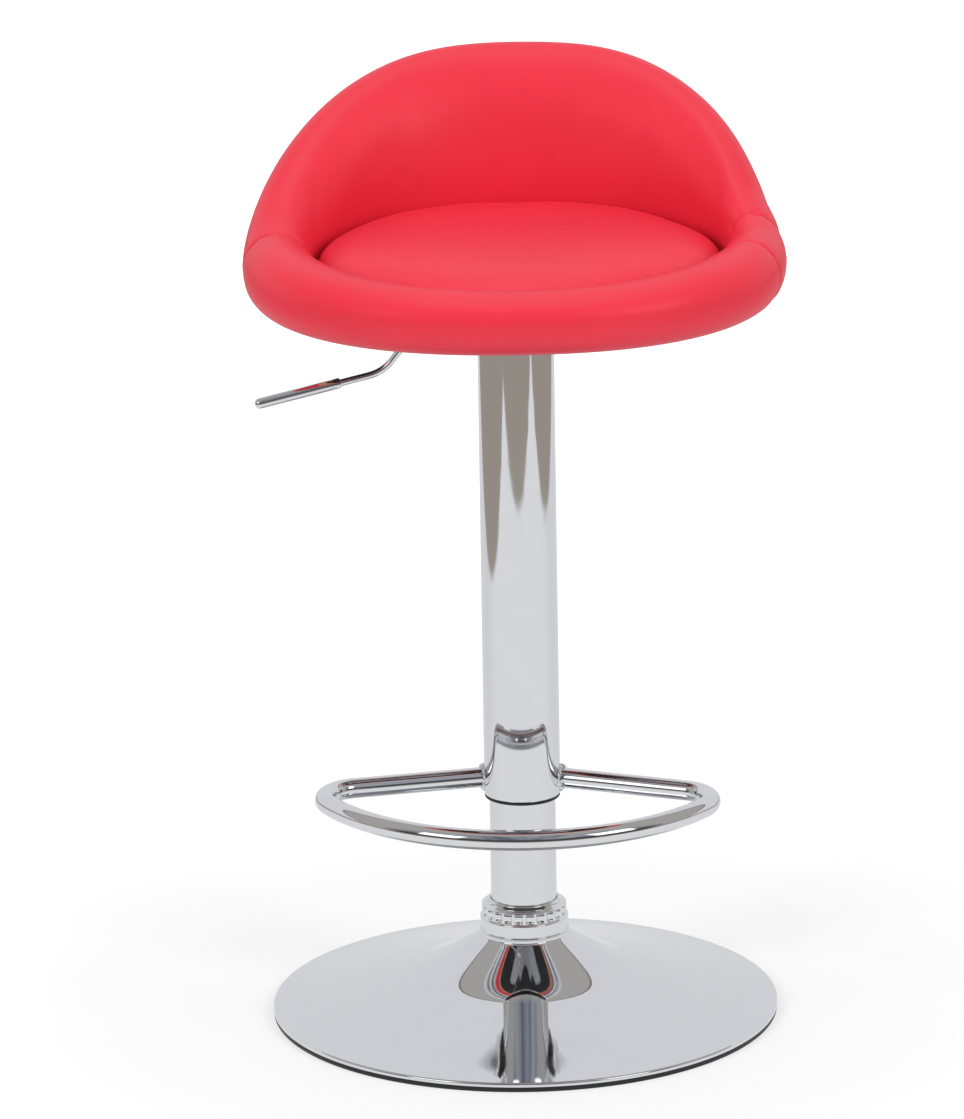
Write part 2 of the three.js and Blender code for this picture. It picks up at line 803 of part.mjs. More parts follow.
// One section of the padded rim: a lower round, an upper round, and a quarter of an ellipse
// for the inside, which falls from the crest to the cushion
function rimSection(turn, seams) {
  const fullness = fullnessAt(turn, seams);
  const rise = riseAt(turn);
  const foot = planPoint(turn, 0, rollHeight);
  const crest = crestPoint(turn);
  const out = planOutward(turn);
  const footRadius = rollRadius * fullness;
  const topRadius = (rollRadius + (crestRadius - rollRadius) * rise) * fullness;
  // Below, the inner side swells until it meets the cushion
  const swell = foot.clone().sub(cushionPoint(turn, rollHeight)).dot(out) - cushionGap - rollRadius;
  const pull = wingPullAt(turn) * Math.min(rise / riseFull, 1);
  const top = crest.clone().addScaledVector(out, -pull).setZ(crest.z + topRadius);
  const inside = foot.clone().addScaledVector(out, -footRadius - swell);
  return sectionDegrees.map((degrees) => {
    const angle = THREE.MathUtils.degToRad(degrees);
    const [c, s] = [Math.cos(angle), Math.sin(angle)];
    if (degrees > 90 && degrees <= 180) {
      return inside.clone().lerp(top, 1 + c).setZ(inside.z + (top.z - inside.z) * s);
    }
    const centre = degrees === 0 ? foot.clone().lerp(crest, 1 / 2) : (degrees < 180 ? crest : foot).clone();
    const radius = degrees === 0 ? (footRadius + topRadius) / 2 : (degrees < 180 ? topRadius : footRadius);
    centre.addScaledVector(out, radius * c + (c < 0 ? swell * c : 0) - (degrees < 180 ? pull : 0));
    centre.z += radius * s;
    return centre;
  });
}

function rimTurns(start, end, creases) {
  const turns = [];
  const count = Math.round((end - start) / padTurnStep);
  for (let i = 0; i <= count; i += 1) turns.push(start + (end - start) * i / count);
  for (const seam of [start, end, ...creases]) {
    for (const step of [-seamTurn, -seamTurn / 2, 0, seamTurn / 2, seamTurn]) turns.push(seam + step);
  }
  const inside = turns.filter((turn) => turn >= start && turn <= end).sort((a, b) => a - b);
  return inside.filter((turn, i) => i === 0 || turn - inside[i - 1] > seamTurn / 8);
}

function rimPiece(start, end, creases) {
  const seams = [start, end, ...creases];
  return loft(rimTurns(start, end, creases).map((turn) => rimSection(turn, seams)));
}

// The shell's line inside the back, grown by a margin to give the slot that holds it
function shellSolid(margin, bottom) {
  const half = shellThickness / 2 + margin;
  const endTurn = margin / seatHalfDepth;
  const [start, end] = [shellStart - endTurn, Math.PI - shellStart + endTurn];
  const count = Math.round((end - start) / padTurnStep);
  const rings = [];
  for (let i = 0; i <= count; i += 1) {
    const turn = start + (end - start) * i / count;
    const foot = planPoint(turn, 0, bottom);
    const heel = planPoint(turn, 0, rollHeight);
    const top = heel.clone().lerp(crestPoint(turn), shellHeightShare);
    const out = planOutward(turn);
    top.z += margin;
    rings.push([
      foot.clone().addScaledVector(out, half),
      heel.clone().addScaledVector(out, half),
      top.clone().addScaledVector(out, half),
      top.clone().addScaledVector(out, -half),
      heel.clone().addScaledVector(out, -half),
      foot.clone().addScaledVector(out, -half),
    ]);
  }
  return loft(rings);
}

function buildSeat(carriage) {
  const group = addGroup(carriage);
  const boardOffset = -shellThickness / 2 - fit;
  const boardRoom = loft([
    planRing(boardOffset + fit, seatBase - overrun),
    planRing(boardOffset + fit, boardTop + fit),
  ]);
  const shellRoom = shellSolid(fit, seatBase - overrun);
  const backRim = rimPiece(rightSeam, leftSeam, []);
  addPiece(group, 'back_pad', cut(backRim, boardRoom, shellRoom), leatherette);

  const gapTurn = fit / seatHalfWidth;
  const rollEnd = rightSeam + 2 * Math.PI - gapTurn;
  const rollRim = rimPiece(leftSeam + gapTurn, rollEnd, [rightCrease + 2 * Math.PI]);
  addPiece(group, 'front_roll', cut(rollRim, boardRoom), leatherette);

  addPiece(group, 'back_shell', shellSolid(0, seatBase), plywood);

  const cushionBottom = boardTop + fit;
  const middle = new THREE.Vector3(0, seatSetBack, cushionBottom);
  const turns = planTurns();
  const cushionRings = cushionSpreadShares.map((share, i) => turns.map((turn) => {
    const place = middle.clone().lerp(cushionPoint(turn, cushionBottom), share);
    place.z += cushionThickness * cushionHeightShares[i];
    return place;
  }));
  addPiece(group, 'seat_cushion', loft(cushionRings), leatherette);

  const places = [-1, 1].flatMap((x) => [-1, 1].map((y) => [x * boltSpanX / 2, y * boltSpanY / 2]));
  const [holeLow, holeHigh] = [seatBase - overrun, boardTop + overrun];
  const seatOfNut = boardTop - teeNutFlange - fit;
  const nutHoles = places.flatMap(([x, y]) => [
    rod(teeNutBarrelRadius + fit, holeLow, holeHigh, rodSides).translate(x, y, 0),
    rod(teeNutRadius + fit, seatOfNut, holeHigh, rodSides * 2).translate(x, y, 0),
  ]);
  const board = loft([planRing(boardOffset, seatBase), planRing(boardOffset, boardTop)]);
  addPiece(group, 'seat_board', cut(board, ...nutHoles), plywood);

  const boltHoles = places.map(([x, y]) => (
    rod(boltRadius + fit, plateUnderside - overrun, boardTop, rodSides).translate(x, y, 0)
  ));
  const coverTop = coverBottom + coverThickness;
  const cover = loft([planRing(-coverInset, coverBottom), planRing(-coverInset, coverTop)]);
  addPiece(group, 'under_cover', cut(cover, ...boltHoles), dustCloth);

  const plateOutline = roundedRectangle(plateWidth, plateDepth, plateCorner);
  const flat = plate(plateOutline, plateUnderside, plateTop);
  const skirtTop = plateUnderside + plateThickness / 2;
  const skirtLow = plateUnderside - plateSkirt;
  const skirt = plate(plateOutline, skirtLow, skirtTop);
  const skirtRoom = plate(
    roundedRectangle(
      plateWidth - 2 * plateSkirtWall,
      plateDepth - 2 * plateSkirtWall,
      plateCorner - plateSkirtWall,
    ),
    skirtLow - overrun,
    plateUnderside,
  );
  addPiece(group, 'seat_plate', cut(join(flat, skirt), skirtRoom, ...boltHoles), steel);

  places.forEach(([x, y], i) => buildFastener(group, x, y, i + 1));
}

function buildFastener(seat, x, y, number) {
  const group = addGroup(seat);
  group.position.set(x, y, 0);
  const washerTop = plateUnderside - fit;
  const washerBottom = washerTop - washerThickness;
  const washer = tubeRing(boltRadius + fit, washerRadius, washerBottom, washerTop, rodSides * 2);
  addPiece(group, `washer_${number}`, washer, steel);

  const headTop = washerBottom - fit;
  const headRadius = boltHeadWidth / Math.sqrt(3);
  const head = rod(headRadius, headTop - boltHeadHeight, headTop, 6);
  const shank = rod(boltRadius, headTop - boltHeadHeight / 2, boardTop - boltTipInset, rodSides);
  addPiece(group, `seat_bolt_${number}`, join(head, shank), steel);

  const nutBore = boltRadius + fit;
  const nutProfile = [
    [nutBore, boardTop - teeNutBarrelLength],
    [teeNutBarrelRadius, boardTop - teeNutBarrelLength],
    [teeNutBarrelRadius, boardTop - teeNutFlange],
    [teeNutRadius, boardTop - teeNutFlange],
    [teeNutRadius, boardTop],
    [nutBore, boardTop],
  ];
  addPiece(group, `tee_nut_${number}`, revolve(nutProfile, rodSides), steel);
}

function buildHub(group) {
  const boreTop = cylinderTop + fit;
  const hubProfile = [
    [taperRadiusAt(hubBottom) + fit, hubBottom],
    [hubRadius, hubBottom],
    [hubRadius, hubTop - hubFlangeThickness],
    [hubFlangeRadius, hubTop - hubFlangeThickness],
    [hubFlangeRadius, hubTop],
    [hubChamberRadius, hubTop],
    [hubChamberRadius, boreTop],
    [taperRadiusAt(boreTop) + fit, boreTop],
  ];
  const windowWidth = pivotBossLength + 2 * fit;
  const windowLow = boreTop;
  const windowHigh = hubTop - hubFlangeThickness;
  const window = new THREE.BoxGeometry(hubRadius + overrun, windowWidth, windowHigh - windowLow);
  window.translate(-(hubRadius + overrun) / 2, 0, (windowHigh + windowLow) / 2);
  addPiece(group, 'seat_hub', cut(revolve(hubProfile, tubeSides), window), steel);
}

function buildBracket(group) {
  const earInner = pivotBossLength / 2 + fit;
  const earOuter = earInner + earThickness;
  const top = plateUnderside - fit;
  const ear = new THREE.Shape();
  ear.moveTo(-earHalfWidth, top - pivotHeight);
  ear.lineTo(-earHalfWidth, 0);
  ear.absarc(0, 0, earHalfWidth, Math.PI, 2 * Math.PI, false);
  ear.lineTo(earHalfWidth, top - pivotHeight);
  const pinHole = new THREE.Path();
  pinHole.absarc(0, 0, pinRadius + fit, 0, 2 * Math.PI, true);
  ear.holes.push(pinHole);
  const earOptions = { depth: earThickness, bevelEnabled: false, curveSegments: earCurveSteps };
  const ears = [earOuter, -earInner].map((y) => (
    new THREE.ExtrudeGeometry(ear, earOptions).rotateX(Math.PI / 2).translate(-pivotReach, y, pivotHeight)
  ));
  const base = new THREE.BoxGeometry(2 * earHalfWidth, 2 * earOuter, earBase);
  base.translate(-pivotReach, 0, top - earBase / 2);
  addPiece(group, 'lever_bracket', join(base, ...ears), steel);

  const pin = rod(pinRadius, -earOuter - earThickness / 2, earOuter + earThickness / 2, rodSides * 2);
  addPiece(group, 'lever_pin', pin.rotateX(Math.PI / 2).translate(-pivotReach, 0, pivotHeight), steel);
}

// Straight runs through the points, with each corner rounded over a length
function bentCurve(points, bend) {
  const curve = new THREE.CurvePath();
  let from = points[0];
  for (let i = 1; i + 1 < points.length; i += 1) {
    const before = points[i].clone().lerp(points[i - 1], bend / points[i].distanceTo(points[i - 1]));
    const after = points[i].clone().lerp(points[i + 1], bend / points[i].distanceTo(points[i + 1]));
    curve.add(new THREE.LineCurve3(from, before));
    curve.add(new THREE.QuadraticBezierCurve3(before, points[i], after));
    from = after;
  }
  curve.add(new THREE.LineCurve3(from, points[points.length - 1]));
  return curve;
}

function buildLever(carriage) {
  const group = addGroup(carriage);
  group.position.set(-pivotReach, 0, pivotHeight);
  const tip = new THREE.Vector3(
    -leverStraight - leverDropLength - leverArmLength,
    0,
    -leverDropHeight - leverArmDrop,
  );
  const elbow = new THREE.Vector3(-leverStraight - leverDropLength, 0, -leverDropHeight);
  const armTurn = Math.atan2(leverArmDrop, leverArmLength);
  const rodEnd = tip.clone().lerp(elbow, gripTip / tip.distanceTo(elbow));
  const line = bentCurve([
    new THREE.Vector3(pivotReach + leverOverreach, 0, 0),
    new THREE.Vector3(-leverStraight, 0, 0),
    elbow,
    rodEnd,
  ], leverBend);
  const half = pivotBossLength / 2;
  const boss = rod(pivotBossRadius, -half, half, rodSides * 2).rotateX(Math.PI / 2);
  const toolHalf = half + overrun;
  const pinTool = rod(pinRadius + fit, -toolHalf, toolHalf, rodSides * 2).rotateX(Math.PI / 2);
  const bar = sweep(line, leverRodRadius, leverSteps, rodSides);
  addPiece(group, 'lever_rod', cut(join(bar, boss), pinTool), chrome);

  const bore = leverRodRadius + fit;
  const gripProfile = [
    ...gripTipShares.map(([out, up]) => [gripRadius * out, gripTip * up]),
    [gripRadius, gripLength - gripChamfer],
    [gripRadius - gripChamfer, gripLength],
    [bore, gripLength],
    [bore, gripTip - fit],
    [0, gripTip - fit],
  ];
  const grip = revolve(gripProfile, rodSides * 2);
  grip.rotateY(Math.PI / 2 - armTurn).translate(tip.x, tip.y, tip.z);
  addPiece(group, 'lever_grip', grip, chrome);
}

const base = buildBase();
buildCollar(base);
buildColumn(base);
const lift = addGroup(stool);
buildRod(lift);
const carriage = addGroup(stool);
buildGasCylinder(carriage);
buildButton(carriage);
buildSleeve(carriage);
buildFootrest(carriage);
buildHub(carriage);
buildBracket(carriage);
buildLever(carriage);
buildSeat(carriage);

export default stool;
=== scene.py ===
"""Looks of the gas-lift bar stool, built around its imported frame. Metres, +Z up, the seat faces -Y."""

import json
import math

import bpy
from mathutils import Euler, Matrix, Vector, noise


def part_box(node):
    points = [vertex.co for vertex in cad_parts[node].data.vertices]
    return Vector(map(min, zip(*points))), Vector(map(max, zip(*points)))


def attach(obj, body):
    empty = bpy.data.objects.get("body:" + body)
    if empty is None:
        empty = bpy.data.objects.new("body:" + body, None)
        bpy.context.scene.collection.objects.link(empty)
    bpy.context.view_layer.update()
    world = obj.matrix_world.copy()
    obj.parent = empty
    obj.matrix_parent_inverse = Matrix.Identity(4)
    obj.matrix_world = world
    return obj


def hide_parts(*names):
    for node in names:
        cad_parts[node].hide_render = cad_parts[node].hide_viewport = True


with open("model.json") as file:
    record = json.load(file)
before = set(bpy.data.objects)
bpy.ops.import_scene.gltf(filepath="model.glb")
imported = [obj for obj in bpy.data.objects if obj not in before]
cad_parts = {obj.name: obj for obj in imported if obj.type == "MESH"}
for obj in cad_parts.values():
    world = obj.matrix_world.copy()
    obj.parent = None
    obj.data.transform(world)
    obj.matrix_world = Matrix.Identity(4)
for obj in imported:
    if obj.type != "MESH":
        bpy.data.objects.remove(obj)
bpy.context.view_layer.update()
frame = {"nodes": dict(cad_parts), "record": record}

MM = 0.001
TURN = 2 * math.pi
FIT = 0.3 * MM

# The photograph's camera, fitted to the base, the column and the seat
PHOTO_WIDTH, PHOTO_HEIGHT = 964, 1119
FOCAL_PIXELS = 10216
TARGET_PIXEL = (518.4, 524.8)
CAMERA_TARGET = Vector((0, 0, 0.4))
CAMERA_DISTANCE = 8.0
CAMERA_ELEVATION = math.radians(16.6)
CAMERA_ROLL = math.radians(0.86)
SENSOR = 36.0


def set_camera():
    data = bpy.data.cameras.new("camera")
    data.sensor_width = SENSOR
    long_side = max(PHOTO_WIDTH, PHOTO_HEIGHT)
    data.lens = FOCAL_PIXELS * SENSOR / long_side
    data.shift_x = (PHOTO_WIDTH / 2 - TARGET_PIXEL[0]) / long_side
    data.shift_y = (TARGET_PIXEL[1] - PHOTO_HEIGHT / 2) / long_side
    data.clip_end = 60
    camera = bpy.data.objects.new("camera", data)
    bpy.context.scene.collection.objects.link(camera)
    outward = Vector((0, -math.cos(CAMERA_ELEVATION), math.sin(CAMERA_ELEVATION)))
    look = Euler((math.pi / 2 - CAMERA_ELEVATION, 0, 0)).to_matrix().to_4x4()
    place = Matrix.Translation(CAMERA_TARGET + outward * CAMERA_DISTANCE)
    camera.matrix_world = place @ look @ Matrix.Rotation(-CAMERA_ROLL, 4, "Z")
    bpy.context.scene.camera = camera


set_camera()


# Materials

def node_material(name):
    """A new material, its node tree and its shader."""
    material = bpy.data.materials.new(name)
    material.use_nodes = True
    return material, material.node_tree, material.node_tree.nodes["Principled BSDF"]


def set_inputs(tree, node, inputs):
    """Gives each input its value, or links it to another node's output."""
    for key, value in inputs.items():
        if isinstance(value, bpy.types.NodeSocket):
            tree.links.new(value, node.inputs[key])
        else:
            node.inputs[key].default_value = value


def add_node(tree, kind, inputs=None, **settings):
    made = tree.nodes.new(kind)
    for key, value in settings.items():
        setattr(made, key, value)
    set_inputs(tree, made, inputs or {})
    return made


def object_place(tree):
    return add_node(tree, "ShaderNodeTexCoord").outputs["Object"]


def noise_texture(tree, scale, detail=2.0, roughness=0.5, vector=None):
    place = vector or object_place(tree)
    inputs = {"Vector": place, "Scale": scale, "Detail": detail, "Roughness": roughness}
    return add_node(tree, "ShaderNodeTexNoise", inputs).outputs["Fac"]


def spread(tree, value, low, high, low_out, high_out):
    inputs = {"Value": value, "From Min": low, "From Max": high, "To Min": low_out, "To Max": high_out}
    return add_node(tree, "ShaderNodeMapRange", inputs).outputs["Result"]


def mix_colours(tree, factor, first, second):
    return add_node(tree, "ShaderNodeMix", {0: factor, 6: first, 7: second}, data_type="RGBA").outputs[2]


def mix_shaders(tree, factor, first, second):
    return add_node(tree, "ShaderNodeMixShader", {0: factor, 1: first, 2: second}).outputs[0]


def combine(tree, first, second, operation="MULTIPLY"):
    return add_node(tree, "ShaderNodeMath", {0: first, 1: second}, operation=operation).outputs[0]


def bump(tree, height, strength, distance, normal=None):
    inputs = {"Height": height, "Strength": strength, "Distance": distance}
    if normal is not None:
        inputs["Normal"] = normal
    return add_node(tree, "ShaderNodeBump", inputs).outputs["Normal"]


def rgba(red, green, blue):
    return (red, green, blue, 1.0)


def chrome_finish():
    """Bright plating: faint waves of the steel under it, and fine smudges in its gloss."""
    material, tree, shader = node_material("chrome")
    smudges = noise_texture(tree, 40.0, 4.0, 0.6)
    waves = noise_texture(tree, 18.0, 1.0)
    set_inputs(tree, shader, {
        "Metallic": 1.0,
        "Base Color": mix_colours(tree, smudges, rgba(0.80, 0.805, 0.82), rgba(0.776, 0.78085, 0.7954)),
        "Roughness": spread(tree, smudges, 0.35, 0.75, 0.025, 0.07),
        "Normal": bump(tree, waves, 0.04, 0.004),
    })
    return material


def leatherette_finish():
    """Soft vinyl leather: a fine pebbled grain, and slightly uneven colour and gloss."""
    material, tree, shader = node_material("red_leatherette")
    place = object_place(tree)
    cells = add_node(tree, "ShaderNodeTexVoronoi", {"Vector": place, "Scale": 1150.0},
                     feature="SMOOTH_F1").outputs["Distance"]
    fine = noise_texture(tree, 2600.0, 3.0, 0.6, place)
    clouds = spread(tree, noise_texture(tree, 9.0, 3.0, 0.55, place), 0.3, 0.7, 0.0, 1.0)
    grain = bump(tree, cells, 0.22, 0.00025)
    set_inputs(tree, shader, {
        "Base Color": mix_colours(tree, clouds, rgba(0.70, 0.018, 0.041), rgba(0.74, 0.021, 0.047)),
        "Roughness": spread(tree, cells, 0.0, 0.6, 0.50, 0.42),
        "Specular IOR Level": 0.5,
        "Normal": bump(tree, fine, 0.10, 0.0002, grain),
    })
    return material


def steel_finish():
    """Plain machined or plated steel with fine streaks in its gloss."""
    material, tree, shader = node_material("steel")
    streaks = noise_texture(tree, 220.0, 5.0, 0.65)
    set_inputs(tree, shader, {
        "Metallic": 1.0,
        "Base Color": mix_colours(tree, streaks, rgba(0.52, 0.53, 0.55), rgba(0.4264, 0.4346, 0.451)),
        "Roughness": spread(tree, streaks, 0.3, 0.7, 0.28, 0.42),
        "Normal": bump(tree, streaks, 0.15, 0.0002),
    })
    return material


def plastic_finish(name, colour, roughness):
    material, tree, shader = node_material(name)
    pebbles = noise_texture(tree, 900.0, 3.0, 0.6)
    light = (c * 1.25 + 0.004 for c in colour)
    set_inputs(tree, shader, {
        "Base Color": mix_colours(tree, pebbles, rgba(*colour), rgba(*light)),
        "Roughness": spread(tree, pebbles, 0.3, 0.7, roughness - 0.06, roughness + 0.06),
        "Normal": bump(tree, pebbles, 0.12, 0.0002),
    })
    return material


def plywood_finish():
    material, tree, shader = node_material("plywood")
    stretched = add_node(tree, "ShaderNodeMapping", {"Vector": object_place(tree), "Scale": (6.0, 90.0, 700.0)})
    grain = noise_texture(tree, 1.0, 6.0, 0.65, stretched.outputs["Vector"])
    bands = spread(tree, grain, 0.35, 0.65, 0.0, 1.0)
    set_inputs(tree, shader, {
        "Base Color": mix_colours(tree, bands, rgba(0.62, 0.42, 0.22), rgba(0.42, 0.25, 0.11)),
        "Roughness": 0.65,
        "Normal": bump(tree, grain, 0.2, 0.0003),
    })
    return material


def dust_cloth_finish():
    """Thin non-woven cover: a felted surface with a fine square emboss."""
    material, tree, shader = node_material("dust_cloth")
    place = object_place(tree)
    fibres = noise_texture(tree, 1600.0, 4.0, 0.7, place)
    dots = add_node(tree, "ShaderNodeTexVoronoi", {"Vector": place, "Scale": 420.0, "Randomness": 0.0})
    pressed = bump(tree, dots.outputs["Distance"], 0.25, 0.0004)
    set_inputs(tree, shader, {
        "Base Color": mix_colours(tree, fibres, rgba(0.012, 0.012, 0.013), rgba(0.035, 0.035, 0.037)),
        "Roughness": 0.85,
        "Normal": bump(tree, fibres, 0.3, 0.0002, pressed),
    })
    return material


FINISHES = {
    "chrome": chrome_finish(),
    "steel": steel_finish(),
    "black_plastic": plastic_finish("black_plastic", (0.007, 0.007, 0.008), 0.5),
    "ivory_plastic": plastic_finish("ivory_plastic", (0.72, 0.68, 0.60), 0.35),
    "red_leatherette": leatherette_finish(),
    "plywood": plywood_finish(),
    "dust_cloth": dust_cloth_finish(),
}


def dress_frame_nodes():
    """Every node of the frame gets its slot's finish, whether or not a piece later stands for it."""
    for row in frame["record"]["subparts"]:
        node = frame["nodes"][row["node"]]
        node.data.materials.clear()
        node.data.materials.append(FINISHES[row["material_slot"]])


# Modelling helpers

def start_clean():
    if bpy.context.object is not None and bpy.context.object.mode != "OBJECT":
        bpy.ops.object.mode_set(mode="OBJECT")
    bpy.ops.object.select_all(action="DESELECT")


def name_piece(name):
    piece = bpy.context.object
    piece.name = name
    piece.data.name = name
    return piece


def make_active(piece):
    start_clean()
    piece.select_set(True)
    bpy.context.view_layer.objects.active = piece


def finish_piece(piece, slot, body, *stands_for, smooth=math.radians(40)):
    """Bakes the piece's place into its mesh, smooths it, and gives it its finish and its body."""
    make_active(piece)
    bpy.ops.object.transform_apply(location=True, rotation=True, scale=True)
    bpy.ops.object.shade_smooth_by_angle(angle=smooth)
    piece.data.materials.clear()
    piece.data.materials.append(FINISHES[slot])
    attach(piece, body)
    if stands_for:
        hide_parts(*stands_for)


def apply_modifier(piece, kind, **settings):
    modifier = piece.modifiers.new(kind.lower(), kind)
    for key, value in settings.items():
        setattr(modifier, key, value)
    make_active(piece)
    bpy.ops.object.modifier_apply(modifier=modifier.name)


def round_edges(piece, width):
    apply_modifier(piece, "BEVEL", width=width, segments=3, limit_method="ANGLE",
                   angle_limit=math.radians(35), harden_normals=False)


def weld_skin(threshold=MM / 200):
    """Joins the points that lie on each other, and turns all faces outwards."""
    bpy.ops.object.mode_set(mode="EDIT")
    bpy.ops.mesh.select_all(action="SELECT")
    bpy.ops.mesh.remove_doubles(threshold=threshold)
    bpy.ops.mesh.normals_make_consistent(inside=False)
    bpy.ops.object.mode_set(mode="OBJECT")


def woven(name, columns, rows, point_at):
    """A skin drawn over a grid, whose points follow from their shares of the way along its two sides."""
    start_clean()
    bpy.ops.mesh.primitive_grid_add(x_subdivisions=columns, y_subdivisions=rows, size=1)
    piece = name_piece(name)
    for vertex in piece.data.vertices:
        vertex.co = point_at(vertex.co.x + 0.5, vertex.co.y + 0.5)
    weld_skin(MM / 50)
    return piece


def between(start, end, share):
    return tuple(a + (b - a) * share for a, b in zip(start, end))


LONG_RUN = 6 * MM
HOLD = 0.3 * MM


def held_runs(profile):
    """Adds a point close to each end of a long straight run, so that smooth shading stays near the corner."""
    held = []
    for start, end in zip(profile, profile[1:] + profile[:1]):
        held.append(start)
        length = math.dist(start, end)
        if length > LONG_RUN:
            for share in (HOLD / length, 1 - HOLD / length):
                held.append(between(start, end, share))
    return held


def spun(name, profile, steps, closes=True):
    """Draws a line through [radius, height] points and spins it about the column's axis."""
    if closes:
        profile = held_runs(profile)
    start_clean()
    first = Vector((profile[0][0], 0, profile[0][1]))
    bpy.ops.mesh.primitive_plane_add(size=MM, location=first)
    bpy.ops.object.mode_set(mode="EDIT")
    bpy.ops.mesh.select_mode(type="VERT")
    bpy.ops.mesh.select_all(action="SELECT")
    bpy.ops.mesh.merge(type="CENTER")
    for (r0, z0), (r1, z1) in zip(profile, profile[1:] + (profile[:1] if closes else [])):
        step = {"value": (r1 - r0, 0, z1 - z0)}
        bpy.ops.mesh.extrude_region_move(TRANSFORM_OT_translate=step)
    bpy.ops.mesh.select_all(action="SELECT")
    bpy.ops.mesh.remove_doubles(threshold=MM / 200)
    bpy.ops.mesh.spin(steps=steps, angle=TURN, center=(0, 0, 0), axis=(0, 0, 1))
    weld_skin()
    bpy.ops.object.transform_apply(location=True, rotation=True, scale=True)
    return name_piece(name)


def bezier(p0, p1, p2, p3, count):
    """Points along a cubic curve between pairs of [radius, height]."""
    points = []
    for i in range(count + 1):
        t = i / count
        weights = ((1 - t) ** 3, 3 * t * (1 - t) ** 2, 3 * t * t * (1 - t), t ** 3)
        points.append(tuple(sum(w * p[k] for w, p in zip(weights, (p0, p1, p2, p3))) for k in (0, 1)))
    return points


def curved(start, corner, end, count):
    """A smooth turn between two points, along the lines that meet at the corner."""
    return bezier(start, between(start, corner, 2 / 3), between(end, corner, 2 / 3), end, count)


def tube_along(name, points, radius, rings=12):
    """A round tube along a list of points, with closed ends."""
    start_clean()
    bpy.ops.curve.primitive_nurbs_path_add(location=(0, 0, 0))
    curve = bpy.context.object
    curve.data.splines.clear()
    spline = curve.data.splines.new("POLY")
    spline.points.add(len(points) - 1)
    for target, point in zip(spline.points, points):
        target.co = (*point, 1.0)
    curve.data.dimensions = "3D"
    curve.data.twist_mode = "MINIMUM"
    curve.data.bevel_depth = radius
    curve.data.bevel_resolution = rings
    curve.data.use_fill_caps = True
    bpy.ops.object.convert(target="MESH")
    piece = name_piece(name)
    weld_skin()
    return piece


# Base and column

SMOOTH_STEPS = 192
BASE_RADIUS = 200 * MM
RIM_ROUND = 1.8 * MM
SKIRT_HEIGHT = 3.4 * MM
DISH_WALL = 1.6 * MM
NECK_RADIUS = 35 * MM
NECK_STRAIGHT = 1.8 * MM
NECK_FILLET = (1.5 * MM, 2 * MM)
FLANK = (27.9 * MM, 17.5 * MM)
FLARE = (89.5 * MM, 34.5 * MM)
DISH_CORNERS = ((0, 0.485), (0.505, 0.554), (0.626, 0.774), (0.773, 0.875))
DISH_STEPS = (8, 14, 14, 26)
RIM_STEPS = 6
RING_WIDTH = 42 * MM
RING_STEP_WIDTH = 21 * MM
RING_STEP = 1.2 * MM
RING_BEVEL_WIDTH, RING_BEVEL_HEIGHT = 0.6 * MM, 0.7 * MM
RING_ROUND = 0.35 * MM


def make_base_dish():
    low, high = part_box("base_dish")
    bottom, neck = low.z, high.z
    rim = bottom + SKIRT_HEIGHT
    edge = (BASE_RADIUS - RIM_ROUND, rim)
    foot = (NECK_RADIUS, neck - NECK_STRAIGHT)
    brink = (foot[0] + NECK_FILLET[0], foot[1] - NECK_FILLET[1])
    heel = (brink[0] + FLANK[0], brink[1] - FLANK[1])
    stops = (foot, brink, heel, FLARE, edge)
    trumpet = [(NECK_RADIUS, neck), foot]
    for start, end, (across, down), count in zip(stops, stops[1:], DISH_CORNERS, DISH_STEPS):
        corner = (start[0] + (end[0] - start[0]) * across, start[1] + (end[1] - start[1]) * down)
        trumpet += curved(start, corner, end, count)[1:]
    roll = []
    for i in range(1, RIM_STEPS + 1):
        a = math.pi / 2 * (1 - i / RIM_STEPS)
        roll.append((edge[0] + RIM_ROUND * math.cos(a), rim - RIM_ROUND + RIM_ROUND * math.sin(a)))
    outer = trumpet + roll + [(BASE_RADIUS, bottom)]
    inner = []
    for i, point in enumerate(outer):
        before, after = outer[max(i - 1, 0)], outer[min(i + 1, len(outer) - 1)]
        along = Vector((after[0] - before[0], after[1] - before[1])).normalized()
        inner.append((point[0] + along.y * DISH_WALL, point[1] - along.x * DISH_WALL))
    inside = BASE_RADIUS - DISH_WALL
    inner = inner[:-(RIM_STEPS + 2):2] + [(inside, bottom + RIM_ROUND), (inside, bottom)]
    inner[0] = (inner[0][0], neck)
    dish = spun("dish", outer + inner[::-1], SMOOTH_STEPS)
    finish_piece(dish, "chrome", "base", "base_dish", smooth=math.radians(30))


def make_floor_ring():
    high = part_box("floor_ring")[1]
    outer = high.x
    inner = BASE_RADIUS - RING_WIDTH
    step = inner + RING_STEP_WIDTH
    ring = spun("foot_ring", [
        (inner, RING_STEP), (step, RING_STEP), (step + RING_STEP, 0),
        (outer - RING_BEVEL_WIDTH, 0), (outer, RING_BEVEL_HEIGHT), (outer, high.z), (inner, high.z),
    ], SMOOTH_STEPS)
    round_edges(ring, RING_ROUND)
    finish_piece(ring, "black_plastic", "base", "floor_ring")


FLUTES = 24
STEPS_PER_FLUTE = 16
FLUTE_ROWS = 14
COLLAR_EDGE = 35.6 * MM
COLLAR_EDGE_HEIGHT = 1.2 * MM
COLLAR_BAND = 34.8 * MM
COLLAR_BAND_HEIGHT = 11 * MM
FLUTE_BAND = 33.4 * MM
FLUTE_BAND_HEIGHT = 9.5 * MM
COLLAR_LIP = 28.4 * MM
FLUTE_HALF_WIDTH = 3.2 * MM
FLUTE_DEPTH = 1.6 * MM


